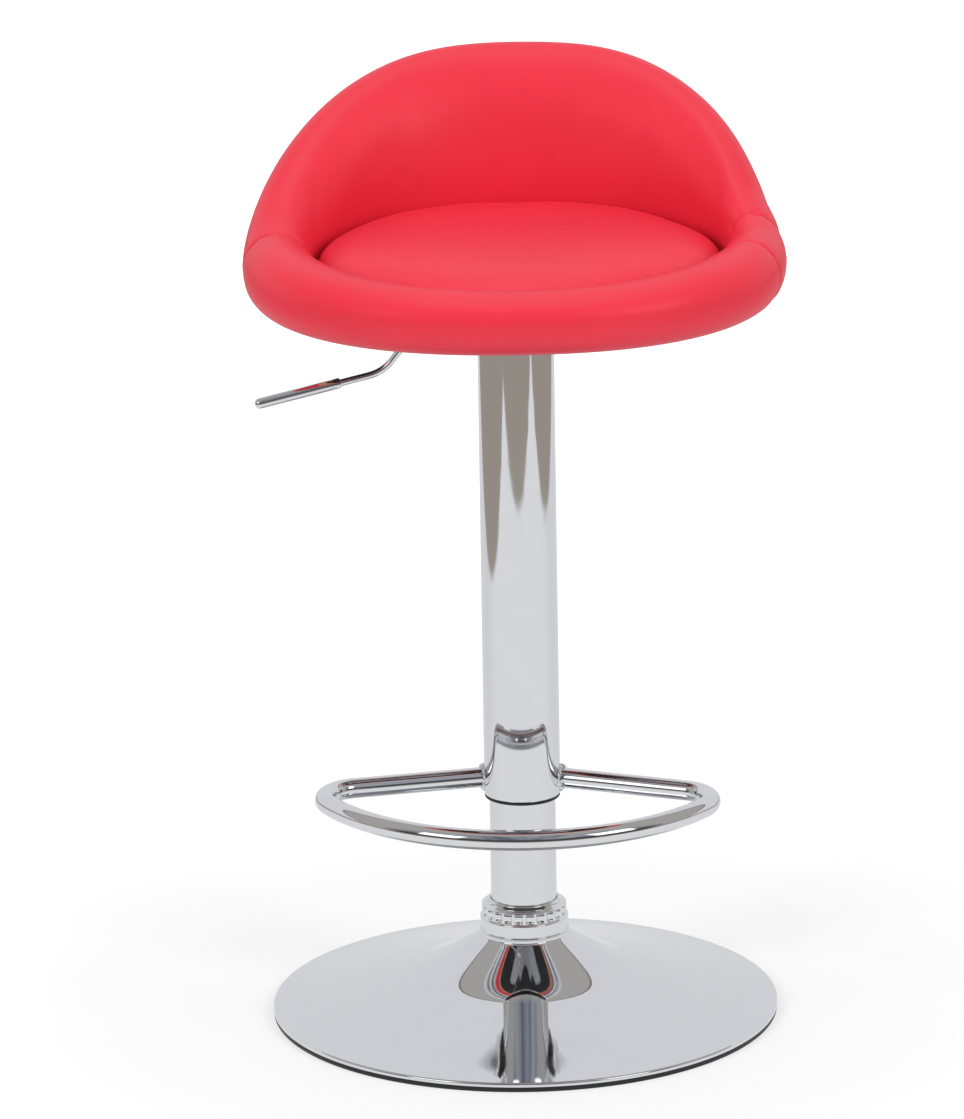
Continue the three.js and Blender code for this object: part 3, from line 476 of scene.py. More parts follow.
def make_collar():
    low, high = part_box("base_collar")
    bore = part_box("column_tube")[1].x + FIT
    edge_top = low.z + COLLAR_EDGE_HEIGHT
    band_top = edge_top + COLLAR_BAND_HEIGHT
    flute_top = band_top + FLUTE_BAND_HEIGHT
    tight = 0.25 * MM
    flute_low, flute_high = band_top + 0.4 * MM, flute_top - 0.5 * MM
    rows = [flute_low + (flute_high - flute_low) * i / FLUTE_ROWS for i in range(FLUTE_ROWS + 1)]
    profile = [
        (bore, low.z), (COLLAR_EDGE - tight, low.z), (COLLAR_EDGE, low.z + tight),
        (COLLAR_EDGE, edge_top - tight), (COLLAR_EDGE - tight, edge_top),
        (COLLAR_BAND + tight, edge_top + tight / 2), (COLLAR_BAND, edge_top + 2 * tight),
        (COLLAR_BAND, band_top - 1.2 * MM),
        (COLLAR_BAND - 0.4 * MM, band_top - 0.3 * MM), (FLUTE_BAND + 0.15 * MM, band_top),
        (FLUTE_BAND, band_top + 0.3 * MM),
    ] + [(FLUTE_BAND, row) for row in rows] + [
        (FLUTE_BAND - 0.1 * MM, flute_top - 0.45 * MM), (FLUTE_BAND - 0.7 * MM, flute_top),
        ((FLUTE_BAND + COLLAR_LIP) / 2, flute_top + 0.2 * MM), (COLLAR_LIP + 0.4 * MM, flute_top + 0.3 * MM),
        (COLLAR_LIP, flute_top + 0.8 * MM), (COLLAR_LIP, high.z - 1.1 * MM),
        (COLLAR_LIP - 0.3 * MM, high.z - 0.3 * MM), (COLLAR_LIP - 0.9 * MM, high.z),
        (bore + 0.4 * MM, high.z), (bore, high.z - 0.4 * MM),
    ]
    collar = spun("fluted_collar", profile, FLUTES * STEPS_PER_FLUTE)
    pitch = TURN / FLUTES
    for vertex in collar.data.vertices:
        radius = math.hypot(vertex.co.x, vertex.co.y)
        if radius < FLUTE_BAND - FIT or not flute_low < vertex.co.z < flute_high:
            continue
        turn = math.atan2(vertex.co.y, vertex.co.x)
        across = ((turn / pitch) % 1 - 0.5) * pitch * FLUTE_BAND / FLUTE_HALF_WIDTH
        along = 2 * (vertex.co.z - flute_low) / (flute_high - flute_low) - 1
        inward = FLUTE_DEPTH * max(1 - across ** 2 - abs(along) ** 4, 0) ** 0.6
        vertex.co.x -= inward * math.cos(turn)
        vertex.co.y -= inward * math.sin(turn)
    finish_piece(collar, "chrome", "base", "base_collar", smooth=math.radians(50))


def make_column():
    low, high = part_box("column_tube")
    collar_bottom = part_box("base_collar")[0].z
    wall = 2.2 * MM
    foot = 25 * MM
    rod_bore = 5.3 * MM
    web = 4 * MM
    chamfer = 0.5 * MM
    column = spun("lower_tube", [
        (rod_bore, low.z), (foot, low.z), (high.x, collar_bottom), (high.x, high.z - chamfer),
        (high.x - chamfer, high.z), (high.x - wall, high.z), (high.x - wall, low.z + web),
        (rod_bore, low.z + web),
    ], SMOOTH_STEPS)
    finish_piece(column, "chrome", "base", "column_tube", smooth=math.radians(30))


def make_sleeve():
    low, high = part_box("sleeve_tube")
    wall = 1.5 * MM
    curl = 0.6 * MM
    sleeve = spun("sleeve", [
        (high.x - wall, low.z), (high.x - curl, low.z), (high.x - curl * 0.3, low.z + curl * 0.3),
        (high.x, low.z + curl), (high.x, high.z), (high.x - wall, high.z),
    ], SMOOTH_STEPS)
    finish_piece(sleeve, "chrome", "carriage", "sleeve_tube", smooth=math.radians(50))
    low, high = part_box("sleeve_bush")
    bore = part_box("column_tube")[1].x + FIT
    flange, spigot, edge = 2.1 * MM, 28.2 * MM, 0.3 * MM
    bush = spun("sleeve_end_bush", [
        (bore, low.z), (high.x, low.z), (high.x, low.z + flange), (spigot, low.z + flange),
        (spigot, high.z), (bore, high.z),
    ], SMOOTH_STEPS)
    round_edges(bush, edge)
    finish_piece(bush, "black_plastic", "carriage", "sleeve_bush")


# Footrest

HOOP_TUBE = 8 * MM
HOOP_FRONT = 156 * MM
HOOP_FRONT_RADIUS = 170 * MM
HOOP_BEND = 29 * MM
HOOP_ARM_SLOPE = 0.31
HOOP_ARM_START = 12 * MM
HOOP_TURN = math.radians(-4)
HOOP_ABOVE_END = 11 * MM
HOOP_SINK = 3 * MM
ARM_STEPS, BEND_STEPS, FRONT_STEPS = 12, 24, 30
BEAD_RADIUS = HOOP_TUBE + 0.4 * MM
BEAD_TUBE = 2.6 * MM
BEAD_OUTSIDE = 0.4 * MM
BEAD_LUMPS = 15
LUMP_SHARE = 0.12
ROUGH_SHARE = 0.25
ROUGH_SCALE = 300


def arc(centre, radius, start, end, steps):
    """Points along an arc, without its first one."""
    angles = (start + (end - start) * i / steps for i in range(1, steps + 1))
    return [centre + Vector((math.cos(angle), math.sin(angle))) * radius for angle in angles]


def hoop_points():
    """The bow's centre line, worked out as its maker would: arm, tight bend, wide front, tight bend, arm."""
    lean = math.atan(HOOP_ARM_SLOPE)
    to_bend = Vector((-math.sin(lean), -math.cos(lean))) * HOOP_BEND
    centre = Vector((0, HOOP_FRONT_RADIUS - HOOP_FRONT))
    gap = HOOP_ARM_START + to_bend.y - centre.y
    reach = HOOP_FRONT_RADIUS - HOOP_BEND
    a = 1 + HOOP_ARM_SLOPE ** 2
    b = 2 * (to_bend.x - HOOP_ARM_SLOPE * gap)
    c = to_bend.x ** 2 + gap ** 2 - reach ** 2
    length = (-b + math.sqrt(b * b - 4 * a * c)) / (2 * a)
    arm_end = Vector((length, HOOP_ARM_START - HOOP_ARM_SLOPE * length))
    bend_middle = arm_end + to_bend
    start = math.atan2(bend_middle.y - centre.y, bend_middle.x)
    inner_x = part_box("sleeve_tube")[1].x - HOOP_SINK
    inner_end = Vector((inner_x, HOOP_ARM_START - HOOP_ARM_SLOPE * inner_x))
    half = [inner_end.lerp(arm_end, i / ARM_STEPS) for i in range(ARM_STEPS + 1)]
    half += arc(bend_middle, HOOP_BEND, math.pi / 2 - lean, start, BEND_STEPS)
    half += arc(centre, HOOP_FRONT_RADIUS, start, -math.pi / 2, FRONT_STEPS)
    return half + [Vector((-p.x, p.y)) for p in reversed(half[:-1])]


def make_footrest():
    sleeve_low, sleeve_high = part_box("sleeve_tube")
    height = sleeve_low.z + HOOP_ABOVE_END
    turned = Matrix.Rotation(HOOP_TURN, 2)
    points = [Vector((*(turned @ p), height)) for p in hoop_points()]
    hoop = tube_along("footrest", points, HOOP_TUBE, rings=14)
    finish_piece(hoop, "chrome", "carriage", "footrest_hoop", smooth=math.radians(60))
    lean = math.atan(HOOP_ARM_SLOPE)
    for side, name in ((-1, "weld_bead_left"), (1, "weld_bead_right")):
        x = sleeve_high.x + BEAD_OUTSIDE
        spot = turned @ Vector((side * x, HOOP_ARM_START - HOOP_ARM_SLOPE * x))
        start_clean()
        bpy.ops.mesh.primitive_torus_add(major_segments=96, minor_segments=20, major_radius=BEAD_RADIUS,
                                         minor_radius=BEAD_TUBE)
        bead = name_piece(name)
        for vertex in bead.data.vertices:
            around = math.atan2(vertex.co.y, vertex.co.x)
            rough = ROUGH_SHARE * noise.noise(vertex.co * ROUGH_SCALE)
            lumps = 1 + LUMP_SHARE * math.sin(around * BEAD_LUMPS) + rough
            ring = Vector((math.cos(around), math.sin(around), 0)) * BEAD_RADIUS
            vertex.co = ring + (vertex.co - ring) * lumps
        across = Matrix.Rotation(HOOP_TURN - side * lean, 4, "Z") @ Matrix.Rotation(math.pi / 2, 4, "Y")
        bead.matrix_world = Matrix.Translation((*spot, height)) @ across
        finish_piece(bead, "chrome", "carriage", smooth=math.radians(80))


# Release lever

LEVER_ROD = 3 * MM
LEVER_PIVOT = (-38 * MM, 573 * MM)
LEVER_STRAIGHT = 29.6 * MM
LEVER_DROP = (36 * MM, 47 * MM)
LEVER_ARM = (100.4 * MM, 25 * MM)
LEVER_BEND = 12 * MM
LEVER_INNER_END = 2 * MM
GRIP_LENGTH = 69 * MM
GRIP_RADIUS = 4.4 * MM
GRIP_GROOVE = 0.35 * MM
GRIP_SOCKET = 2 * MM
ROD_IN_GRIP = 6 * MM
BOSS_RADIUS = 5.4 * MM
BOSS_WIDTH = 9.6 * MM
BOSS_EDGE = 0.6 * MM


def rounded_path(points, reach, count):
    """Straight runs through the points, with each corner rounded over a length."""
    path = [points[0]]
    for before, corner, after in zip(points, points[1:], points[2:]):
        start = corner + (before - corner).normalized() * reach
        end = corner + (after - corner).normalized() * reach
        for i in range(count + 1):
            t = i / count
            path.append(start * (1 - t) ** 2 + corner * 2 * t * (1 - t) + end * t * t)
    return path + [points[-1]]


def make_lever():
    pivot = Vector((LEVER_PIVOT[0], 0, LEVER_PIVOT[1]))
    elbow = pivot + Vector((-LEVER_STRAIGHT - LEVER_DROP[0], 0, -LEVER_DROP[1]))
    tip = elbow + Vector((-LEVER_ARM[0], 0, -LEVER_ARM[1]))
    along = (elbow - tip).normalized()
    inner_end = Vector((LEVER_INNER_END, 0, pivot.z))
    points = [inner_end, pivot + Vector((-LEVER_STRAIGHT, 0, 0)), elbow, tip + along * ROD_IN_GRIP]
    bar = tube_along("lever_bar", rounded_path(points, LEVER_BEND, 16), LEVER_ROD, rings=8)
    finish_piece(bar, "chrome", "lever", "lever_rod", smooth=math.radians(60))
    start_clean()
    bpy.ops.mesh.primitive_cylinder_add(vertices=48, radius=BOSS_RADIUS, depth=BOSS_WIDTH, location=pivot,
                                        rotation=(math.pi / 2, 0, 0))
    boss = name_piece("lever_boss")
    bpy.ops.object.mode_set(mode="EDIT")
    bpy.ops.mesh.select_all(action="SELECT")
    bpy.ops.mesh.bevel(offset=BOSS_EDGE, segments=3, affect="EDGES")
    bpy.ops.object.mode_set(mode="OBJECT")
    finish_piece(boss, "chrome", "lever")
    cap = 1.2 * MM
    bore = LEVER_ROD + FIT
    groove = GRIP_RADIUS - GRIP_GROOVE
    profile = [
        (0, 0), (GRIP_RADIUS * 0.45, 0.15 * MM), (GRIP_RADIUS * 0.8, 1.1 * MM),
        (GRIP_RADIUS * 0.97, 2.8 * MM), (GRIP_RADIUS, 4.5 * MM), (GRIP_RADIUS, GRIP_LENGTH - 7 * MM),
        (groove, GRIP_LENGTH - 6.7 * MM), (groove, GRIP_LENGTH - 6.1 * MM),
        (GRIP_RADIUS, GRIP_LENGTH - 5.8 * MM), (GRIP_RADIUS, GRIP_LENGTH - cap),
        (GRIP_RADIUS - cap / 2, GRIP_LENGTH), (bore, GRIP_LENGTH), (bore, GRIP_LENGTH - GRIP_SOCKET),
        (0, GRIP_LENGTH - GRIP_SOCKET),
    ]
    grip = spun("lever_handle", profile, 64, closes=False)
    turned = Vector((0, 0, 1)).rotation_difference(along).to_matrix().to_4x4()
    grip.matrix_world = Matrix.Translation(tip) @ turned
    finish_piece(grip, "chrome", "lever", "lever_grip", smooth=math.radians(35))


# Seat: the frame's plan and sizes, but a fuller underside, and a crest drawn higher, which filling lowers.

SEAT_BASE = 587.4 * MM
BOARD = 12 * MM
PLAN_X, PLAN_Y = 184 * MM, 166 * MM
PLAN_BACK = -4 * MM
PLAN_POWER = 2.28
ROLL = 28.6 * MM
CREST_HEIGHT = 159.5 * MM
CREST_RADIUS = 24 * MM
CREST_DRAW_IN = 12 * MM
CREST_LEAN = 16 * MM
CREST_SHIFT = 5 * MM
RISE_START = -0.15
RISE_START_POWER = 1.6
RISE_END_POWER = 2.3
FRONT_DROP = 8 * MM
WING_PULL = 7 * MM
WING_TURN = math.radians(12)
WING_SPREAD = math.radians(30)
RISE_FULL = 0.2
LEFT_SEAM = math.radians(184)
RIGHT_SEAM = math.radians(4)
RIGHT_CREASE = math.radians(-17)
CUSHION_GAP = 0.5 * MM
CUSHION_HEIGHT = 38 * MM
CUSHION_STRETCH = 8 * MM
ROLL_HEIGHT = SEAT_BASE + ROLL


def round_point(turn, half_x, half_y, power, z):
    c, s = math.cos(turn), math.sin(turn)
    size = (abs(c) ** power + abs(s) ** power) ** (-1 / power)
    return Vector((half_x * size * c, PLAN_BACK + half_y * size * s, z))


def outward(turn):
    c, s = math.cos(turn), math.sin(turn)
    x = math.copysign(abs(c) ** (PLAN_POWER - 1), c) / PLAN_X
    y = math.copysign(abs(s) ** (PLAN_POWER - 1), s) / PLAN_Y
    return Vector((x, y, 0)).normalized()


def cushion_point(turn, z):
    inset = ROLL + CUSHION_GAP
    half_width = PLAN_X - inset + CUSHION_STRETCH * max(math.cos(turn), 0) ** 2
    return round_point(turn, half_width, PLAN_Y - inset, 2, z)


def rise_at(turn):
    share = max((math.sin(turn) - RISE_START) / (1 - RISE_START), 0)
    return (1 - (1 - share) ** RISE_START_POWER) ** RISE_END_POWER


def crest_at(turn):
    rise = rise_at(turn)
    height = ROLL_HEIGHT + (CREST_HEIGHT - CREST_RADIUS - ROLL) * rise
    point = round_point(turn, PLAN_X, PLAN_Y, PLAN_POWER, height)
    point.x += CREST_SHIFT * rise ** 3 - CREST_DRAW_IN * rise * math.cos(turn)
    point.y += CREST_LEAN * rise * math.sin(turn)
    point.z -= FRONT_DROP * max(-math.sin(turn), 0) ** 2
    return point


def wing_pull(turn):
    away = math.atan2(math.sin(turn - WING_TURN), math.cos(turn - WING_TURN))
    near = max(1 - abs(away) / WING_SPREAD, 0)
    return WING_PULL * near * near * (3 - 2 * near)


UNDER_FULLNESS = 0.84
UNDER_DROP = 1.8 * MM
UNDER_STEPS, SIDE_STEPS, TOP_STEPS, INSIDE_STEPS = 8, 12, 8, 24


def quarter_turn(steps):
    return [math.pi / 2 * i / steps for i in range(steps)]


def rim_outline(turn, tuck):
    """The rim's section: from the bottom up the outer side, over the top, down the inner side and back."""
    rise = rise_at(turn)
    out = outward(turn)
    foot = round_point(turn, PLAN_X, PLAN_Y, PLAN_POWER, ROLL_HEIGHT)
    crest = crest_at(turn)
    top = ROLL + (CREST_RADIUS - ROLL) * rise - tuck
    low = ROLL - tuck
    swell = (foot - cushion_point(turn, ROLL_HEIGHT)).dot(out) - CUSHION_GAP - ROLL
    pull = wing_pull(turn) * min(rise / RISE_FULL, 1)
    up = Vector((0, 0, 1))
    peak = crest + up * top - out * pull
    inside = foot - out * (low + swell)
    level = crest.copy()
    level.z = max(crest.z, foot.z)
    points = []
    for angle in quarter_turn(UNDER_STEPS):
        c, s = math.sin(angle) ** UNDER_FULLNESS, math.cos(angle) ** UNDER_FULLNESS
        points.append(foot + out * low * c - up * (low + UNDER_DROP) * s)
    for i in range(SIDE_STEPS):
        lift = i / SIDE_STEPS
        points.append(foot.lerp(level, lift) + out * (low + (top - low) * lift - pull * (1 - (1 - lift) ** 3)))
    for angle in quarter_turn(TOP_STEPS):
        points.append(level + out * (top * math.cos(angle) - pull) + up * (peak.z - level.z) * math.sin(angle))
    for angle in quarter_turn(INSIDE_STEPS):
        point = inside.lerp(peak, 1 - math.sin(angle))
        point.z = inside.z + (peak.z - inside.z) * math.cos(angle)
        points.append(point)
    for angle in quarter_turn(UNDER_STEPS):
        points.append(foot - out * (low + swell) * math.cos(angle) - up * (low + UNDER_DROP) * math.sin(angle))
    return points


def even_ring(points, count):
    """The same closed line drawn with a number of points at equal distances."""
    points = [a for a, b in zip(points, points[1:] + points[:1]) if (b - a).length > MM / 100]
    lengths = [(b - a).length for a, b in zip(points, points[1:] + points[:1])]
    whole = sum(lengths)
    ring, i, passed = [], 0, 0.0
    for j in range(count):
        goal = whole * j / count
        while passed + lengths[i] < goal:
            passed += lengths[i]
            i += 1
        ring.append(points[i].lerp(points[(i + 1) % len(points)], (goal - passed) / lengths[i]))
    return ring


SEAM_STEPS = (0.0, 0.7, 1.6, 3.0, 5.0, 7.5, 10.5, 14.0, 18.0)
SEAM_REACH = 12 * MM
SEAM_DEPTH = 0.7 * MM
SEAM_CREASE = 1.3 * MM
CREASE_WIDTH = 1.1 * MM
RIM_STEP = 4.6 * MM
CLOSING = (0.0, 0.35, 0.7, 0.92)


def seam_draw(distance):
    """How far a seam draws the cover in, at a distance from it."""
    near = 1 - min(distance / SEAM_REACH, 1)
    return SEAM_DEPTH * near ** 2 + SEAM_CREASE * math.exp(-distance / CREASE_WIDTH)


def rim_places(start, end, creases):
    """Places along the rim, close together beside the seams, as distances from its start."""
    length = (end - start) * PLAN_X
    seams = [0.0, length] + [(crease - start) * PLAN_X for crease in creases]
    places = {round(seam + side * step * MM, 6) for seam in seams for step in SEAM_STEPS for side in (-1, 1)}
    clear = SEAM_STEPS[-1] * MM + RIM_STEP / 2
    count = round(length / RIM_STEP)
    places |= {round(length * i / count, 6) for i in range(count + 1)
               if all(abs(length * i / count - seam) > clear for seam in seams)}
    return sorted(place for place in places if -MM / 100 < place < length + MM / 100), seams


def make_rim_pad(name, start, end, creases, around, tuck):
    """A padded length of the rim between two turns, drawn in at its seams and closed at both ends."""
    places, seams = rim_places(start, end, creases)
    rings = []
    for place in places:
        draw = sum(seam_draw(abs(place - seam)) for seam in seams)
        rings.append(even_ring(rim_outline(start + place / PLAN_X, tuck + draw), around))
    caps = []
    for ring in (rings[0], rings[-1]):
        middle = sum(ring, Vector()) / around
        caps.append([[middle.lerp(point, size) for point in ring] for size in CLOSING])
    rings = caps[0] + rings + caps[1][::-1]
    last = len(rings) - 1

    def point_at(along, turn):
        return rings[round(along * last)][round(turn * around) % around]

    return woven(name, last, around, point_at)


CUSHION_SPREAD = (0.0, 0.45, 0.8, 0.93, 0.985, 1.0, 0.985, 0.93, 0.8, 0.55, 0.25, 0.0)
CUSHION_RISE = (0.0, 0.0, 0.0, 0.02, 0.14, 0.36, 0.56, 0.74, 0.88, 0.965, 0.995, 1.0)


def smooth_table(table, share):
    """Reads a table of shares at any place along it, with a smooth line through its values."""
    spot = share * (len(table) - 1)
    i = min(int(spot), len(table) - 2)
    t = spot - i
    before, a, b, after = (table[min(max(k, 0), len(table) - 1)] for k in (i - 1, i, i + 1, i + 2))
    square = 2 * before - 5 * a + 4 * b - after
    cube = 3 * (a - b) + after - before
    return a + 0.5 * t * (b - before + t * (square + t * cube))


def make_cushion_shape(name, tuck):
    rings, sides = 44, 128
    bottom = SEAT_BASE + BOARD + FIT
    middle = Vector((0, PLAN_BACK, bottom))

    def point_at(turn, share):
        edge = cushion_point(TURN * (round(turn * sides) % sides) / sides, bottom)
        reach = smooth_table(CUSHION_SPREAD, share) * (1 - tuck / (edge - middle).length)
        point = middle.lerp(edge, reach)
        point.z += tuck / 2 + (CUSHION_HEIGHT - tuck) * smooth_table(CUSHION_RISE, share)
        return point

    return woven(name, sides, rings, point_at)


HELD_HEIGHT = 6 * MM
FILL_PRESSURE = 4.0
FILL_STEPS = 20
CLOTH_QUALITY = 6
CLOTH_STIFFNESS = 12
CLOTH_BENDING = 0.6
EVENING_ROUNDS = 10
EVENING_KEEP = 0.4


def fill_cover(piece, room):
    """Fills a cover like foam: a short cloth simulation under pressure. Its movement is kept within the
    room that each place has, and evened out over the cover."""
    before = [v.co.copy() for v in piece.data.vertices]
    group = piece.vertex_groups.new(name="held")
    group.add([v.index for v in piece.data.vertices if v.co.z < SEAT_BASE + HELD_HEIGHT], 1.0, "REPLACE")
    make_active(piece)
    cloth = piece.modifiers.new("filling", "CLOTH")
    cloth.settings.quality = CLOTH_QUALITY
    cloth.settings.use_pressure = True
    cloth.settings.uniform_pressure_force = FILL_PRESSURE
    cloth.settings.effector_weights.gravity = 0
    cloth.settings.tension_stiffness = CLOTH_STIFFNESS
    cloth.settings.compression_stiffness = CLOTH_STIFFNESS
    cloth.settings.bending_stiffness = CLOTH_BENDING
    cloth.settings.vertex_group_mass = "held"
    cloth.point_cache.frame_start = 1
    cloth.point_cache.frame_end = FILL_STEPS
    for step in range(1, FILL_STEPS + 1):
        bpy.context.scene.frame_set(step)
    bpy.ops.object.modifier_apply(modifier=cloth.name)
    bpy.context.scene.frame_set(1)
    piece.vertex_groups.clear()
    moves = []
    for vertex, start in zip(piece.data.vertices, before):
        move = vertex.co - start
        most = room(start)
        moves.append(move * (most / move.length) if move.length > most else move)
    near = [[] for _ in moves]
    for edge in piece.data.edges:
        a, b = edge.vertices
        near[a].append(b)
        near[b].append(a)
    for _ in range(EVENING_ROUNDS):
        moves = [move.lerp(sum((moves[k] for k in links), Vector()) / len(links), 1 - EVENING_KEEP)
                 for move, links in zip(moves, near)]
    for vertex, start, move in zip(piece.data.vertices, before, moves):
        vertex.co = start + move


PUCKER_DEPTH = 1.2 * MM
PUCKER_REACH = 7 * MM
PUCKER_LIMIT = 5 * PUCKER_REACH
PUCKER_LENGTH = 6.5 * MM
PUCKER_STRETCH = 40 * MM


def pucker(piece, seams):
    """Small folds run away from the seams, some longer than others."""
    normals = [v.normal.copy() for v in piece.data.vertices]
    for vertex, normal in zip(piece.data.vertices, normals):
        turn = math.atan2(vertex.co.y - PLAN_BACK, vertex.co.x)
        for k, seam in enumerate(seams):
            away = abs(math.atan2(math.sin(turn - seam), math.cos(turn - seam))) * PLAN_X
            if away > PUCKER_LIMIT:
                continue
            middle = round_point(seam, PLAN_X, PLAN_Y, PLAN_POWER, ROLL_HEIGHT)
            height = math.atan2(vertex.co.z - middle.z, (vertex.co - middle).dot(outward(seam))) * ROLL
            fold = noise.noise(Vector((height / PUCKER_LENGTH, away / PUCKER_STRETCH, 3.7 * k)))
            reach = PUCKER_REACH * (1.1 + noise.noise(Vector((height / (2 * PUCKER_LENGTH), 9.1, k))))
            vertex.co -= normal * PUCKER_DEPTH * max(fold, 0.0) * 2 * math.exp(-away / reach)


BACK_AROUND = 64
ROLL_AROUND = 44
TUCK = 1.2 * MM
ROOM_INSIDE = 1.2 * MM
ROOM_CUSHION_SIDE = 1.3 * MM
ROOM_OPEN = 2.4 * MM
INSIDE_HEIGHT = 55 * MM
CUSHION_SIDE_HEIGHT = 26 * MM


def rim_room(co):
    """The rim has less room on its inner side, where it stands beside the cushion."""
    flat = co.xy - Vector((0, PLAN_BACK))
    line = round_point(math.atan2(flat.y, flat.x), PLAN_X, PLAN_Y, PLAN_POWER, 0).xy - Vector((0, PLAN_BACK))
    return ROOM_INSIDE if flat.length < line.length and co.z < SEAT_BASE + INSIDE_HEIGHT else ROOM_OPEN


def cushion_room(co):
    return ROOM_CUSHION_SIDE if co.z < SEAT_BASE + BOARD + CUSHION_SIDE_HEIGHT else ROOM_OPEN


def make_seat():
    gap = FIT / PLAN_X
    seams = (LEFT_SEAM, RIGHT_SEAM, RIGHT_CREASE)
    back = make_rim_pad("back_cushion", RIGHT_SEAM + gap, LEFT_SEAM - gap, (), BACK_AROUND, TUCK)
    fill_cover(back, rim_room)
    pucker(back, seams)
    apply_modifier(back, "SUBSURF", levels=1, render_levels=1)
    finish_piece(back, "red_leatherette", "carriage", "back_pad", "back_shell", smooth=math.pi)

    roll = make_rim_pad("front_roll_pad", LEFT_SEAM + gap, RIGHT_SEAM + TURN - gap,
                        (RIGHT_CREASE + TURN,), ROLL_AROUND, TUCK)
    fill_cover(roll, rim_room)
    pucker(roll, seams)
    apply_modifier(roll, "SUBSURF", levels=1, render_levels=1)
    finish_piece(roll, "red_leatherette", "carriage", "front_roll", smooth=math.pi)

    cushion = make_cushion_shape("seat_cushion_pad", TUCK)
    fill_cover(cushion, cushion_room)
    apply_modifier(cushion, "SUBSURF", levels=1, render_levels=1)
    finish_piece(cushion, "red_leatherette", "carriage", "seat_cushion", smooth=math.pi)


COVER_SAG = 6.5 * MM
SAG_MIDDLE = Vector((-47 * MM, -138 * MM))
SAG_SPREAD = (95 * MM, 34 * MM)
COVER_BELOW = 0.4 * MM
COVER_THICKNESS = 0.6 * MM


def make_under_cover():
    """The thin cover under the board: flat where the plate clamps it, slack towards the front."""
    low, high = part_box("under_cover")
    rings, sides = 40, 128
    centre = Vector((0, PLAN_BACK, high.z))

    def point_at(turn, share):
        turn = TURN * (round(turn * sides) % sides) / sides
        point = centre.lerp(round_point(turn, high.x, (high.y - low.y) / 2, PLAN_POWER, high.z), share)
        offset = [(point.x - SAG_MIDDLE.x) / SAG_SPREAD[0], (point.y - SAG_MIDDLE.y) / SAG_SPREAD[1]]
        hung = max(1 - offset[0] ** 2, 0) * max(1 - offset[1] ** 2, 0)
        ripple = 1 + 0.25 * noise.noise(point * 28)
        point.z -= COVER_BELOW + COVER_SAG * hung ** 0.8 * ripple * (1 - share ** 12)
        return point

    cover = woven("bottom_cover", sides, rings, point_at)
    apply_modifier(cover, "SOLIDIFY", thickness=COVER_THICKNESS, offset=0.0)
    finish_piece(cover, "dust_cloth", "carriage", "under_cover", smooth=math.radians(50))


# Studio: a white paper sheet in a plain room

SHEET_FRONT = 1.45
SHEET_LEFT = 1.22
SHEET_RIGHT = 1.42
SHEET_EDGE = 0.02
FLOOR_SIZE = 40.0
RAIL_SLOPE = 0.77
WINDOWS = ((-1.9, -1.9, 1.4), (1.9, -1.7, 1.4))
WINDOW_HALF_SIZE = (0.20, 0.22)
SOFT_LIGHT = 0.56
WHITE = rgba(1, 1, 1)
WINDOW_LIGHT = rgba(1.9, 1.9, 1.9)
BACKDROP = rgba(0.75, 0.75, 0.78)
NEAR_SHEET = rgba(0.84, 0.84, 0.86)
BARE_FLOOR = rgba(0.36, 0.325, 0.285)
RAIL = rgba(0.16, 0.15, 0.145)
OVERHEAD = rgba(0.42, 0.41, 0.39)
DARK_HANGING = rgba(0.12, 0.14, 0.18)
PALE_HANGING = rgba(0.36, 0.38, 0.42)
LOW_FRONT = rgba(0.07, 0.067, 0.065)
SOFTBOXES = (
    ("softbox_left", (-1.9, -1.9, 1.9), (1.0, 1.2), 35),
    ("softbox_right", (1.9, -1.7, 1.9), (1.0, 1.2), 31),
    ("softbox_top", (0.0, 0.3, 2.6), (1.6, 1.2), 15),
)
LIGHT_TARGET = Vector((0, 0, 0.55))


def edge_fade(tree, value, edge, inside, outside):
    """Goes from one value to another across the sheet's edge."""
    return spread(tree, value, edge - SHEET_EDGE, edge + SHEET_EDGE, inside, outside)


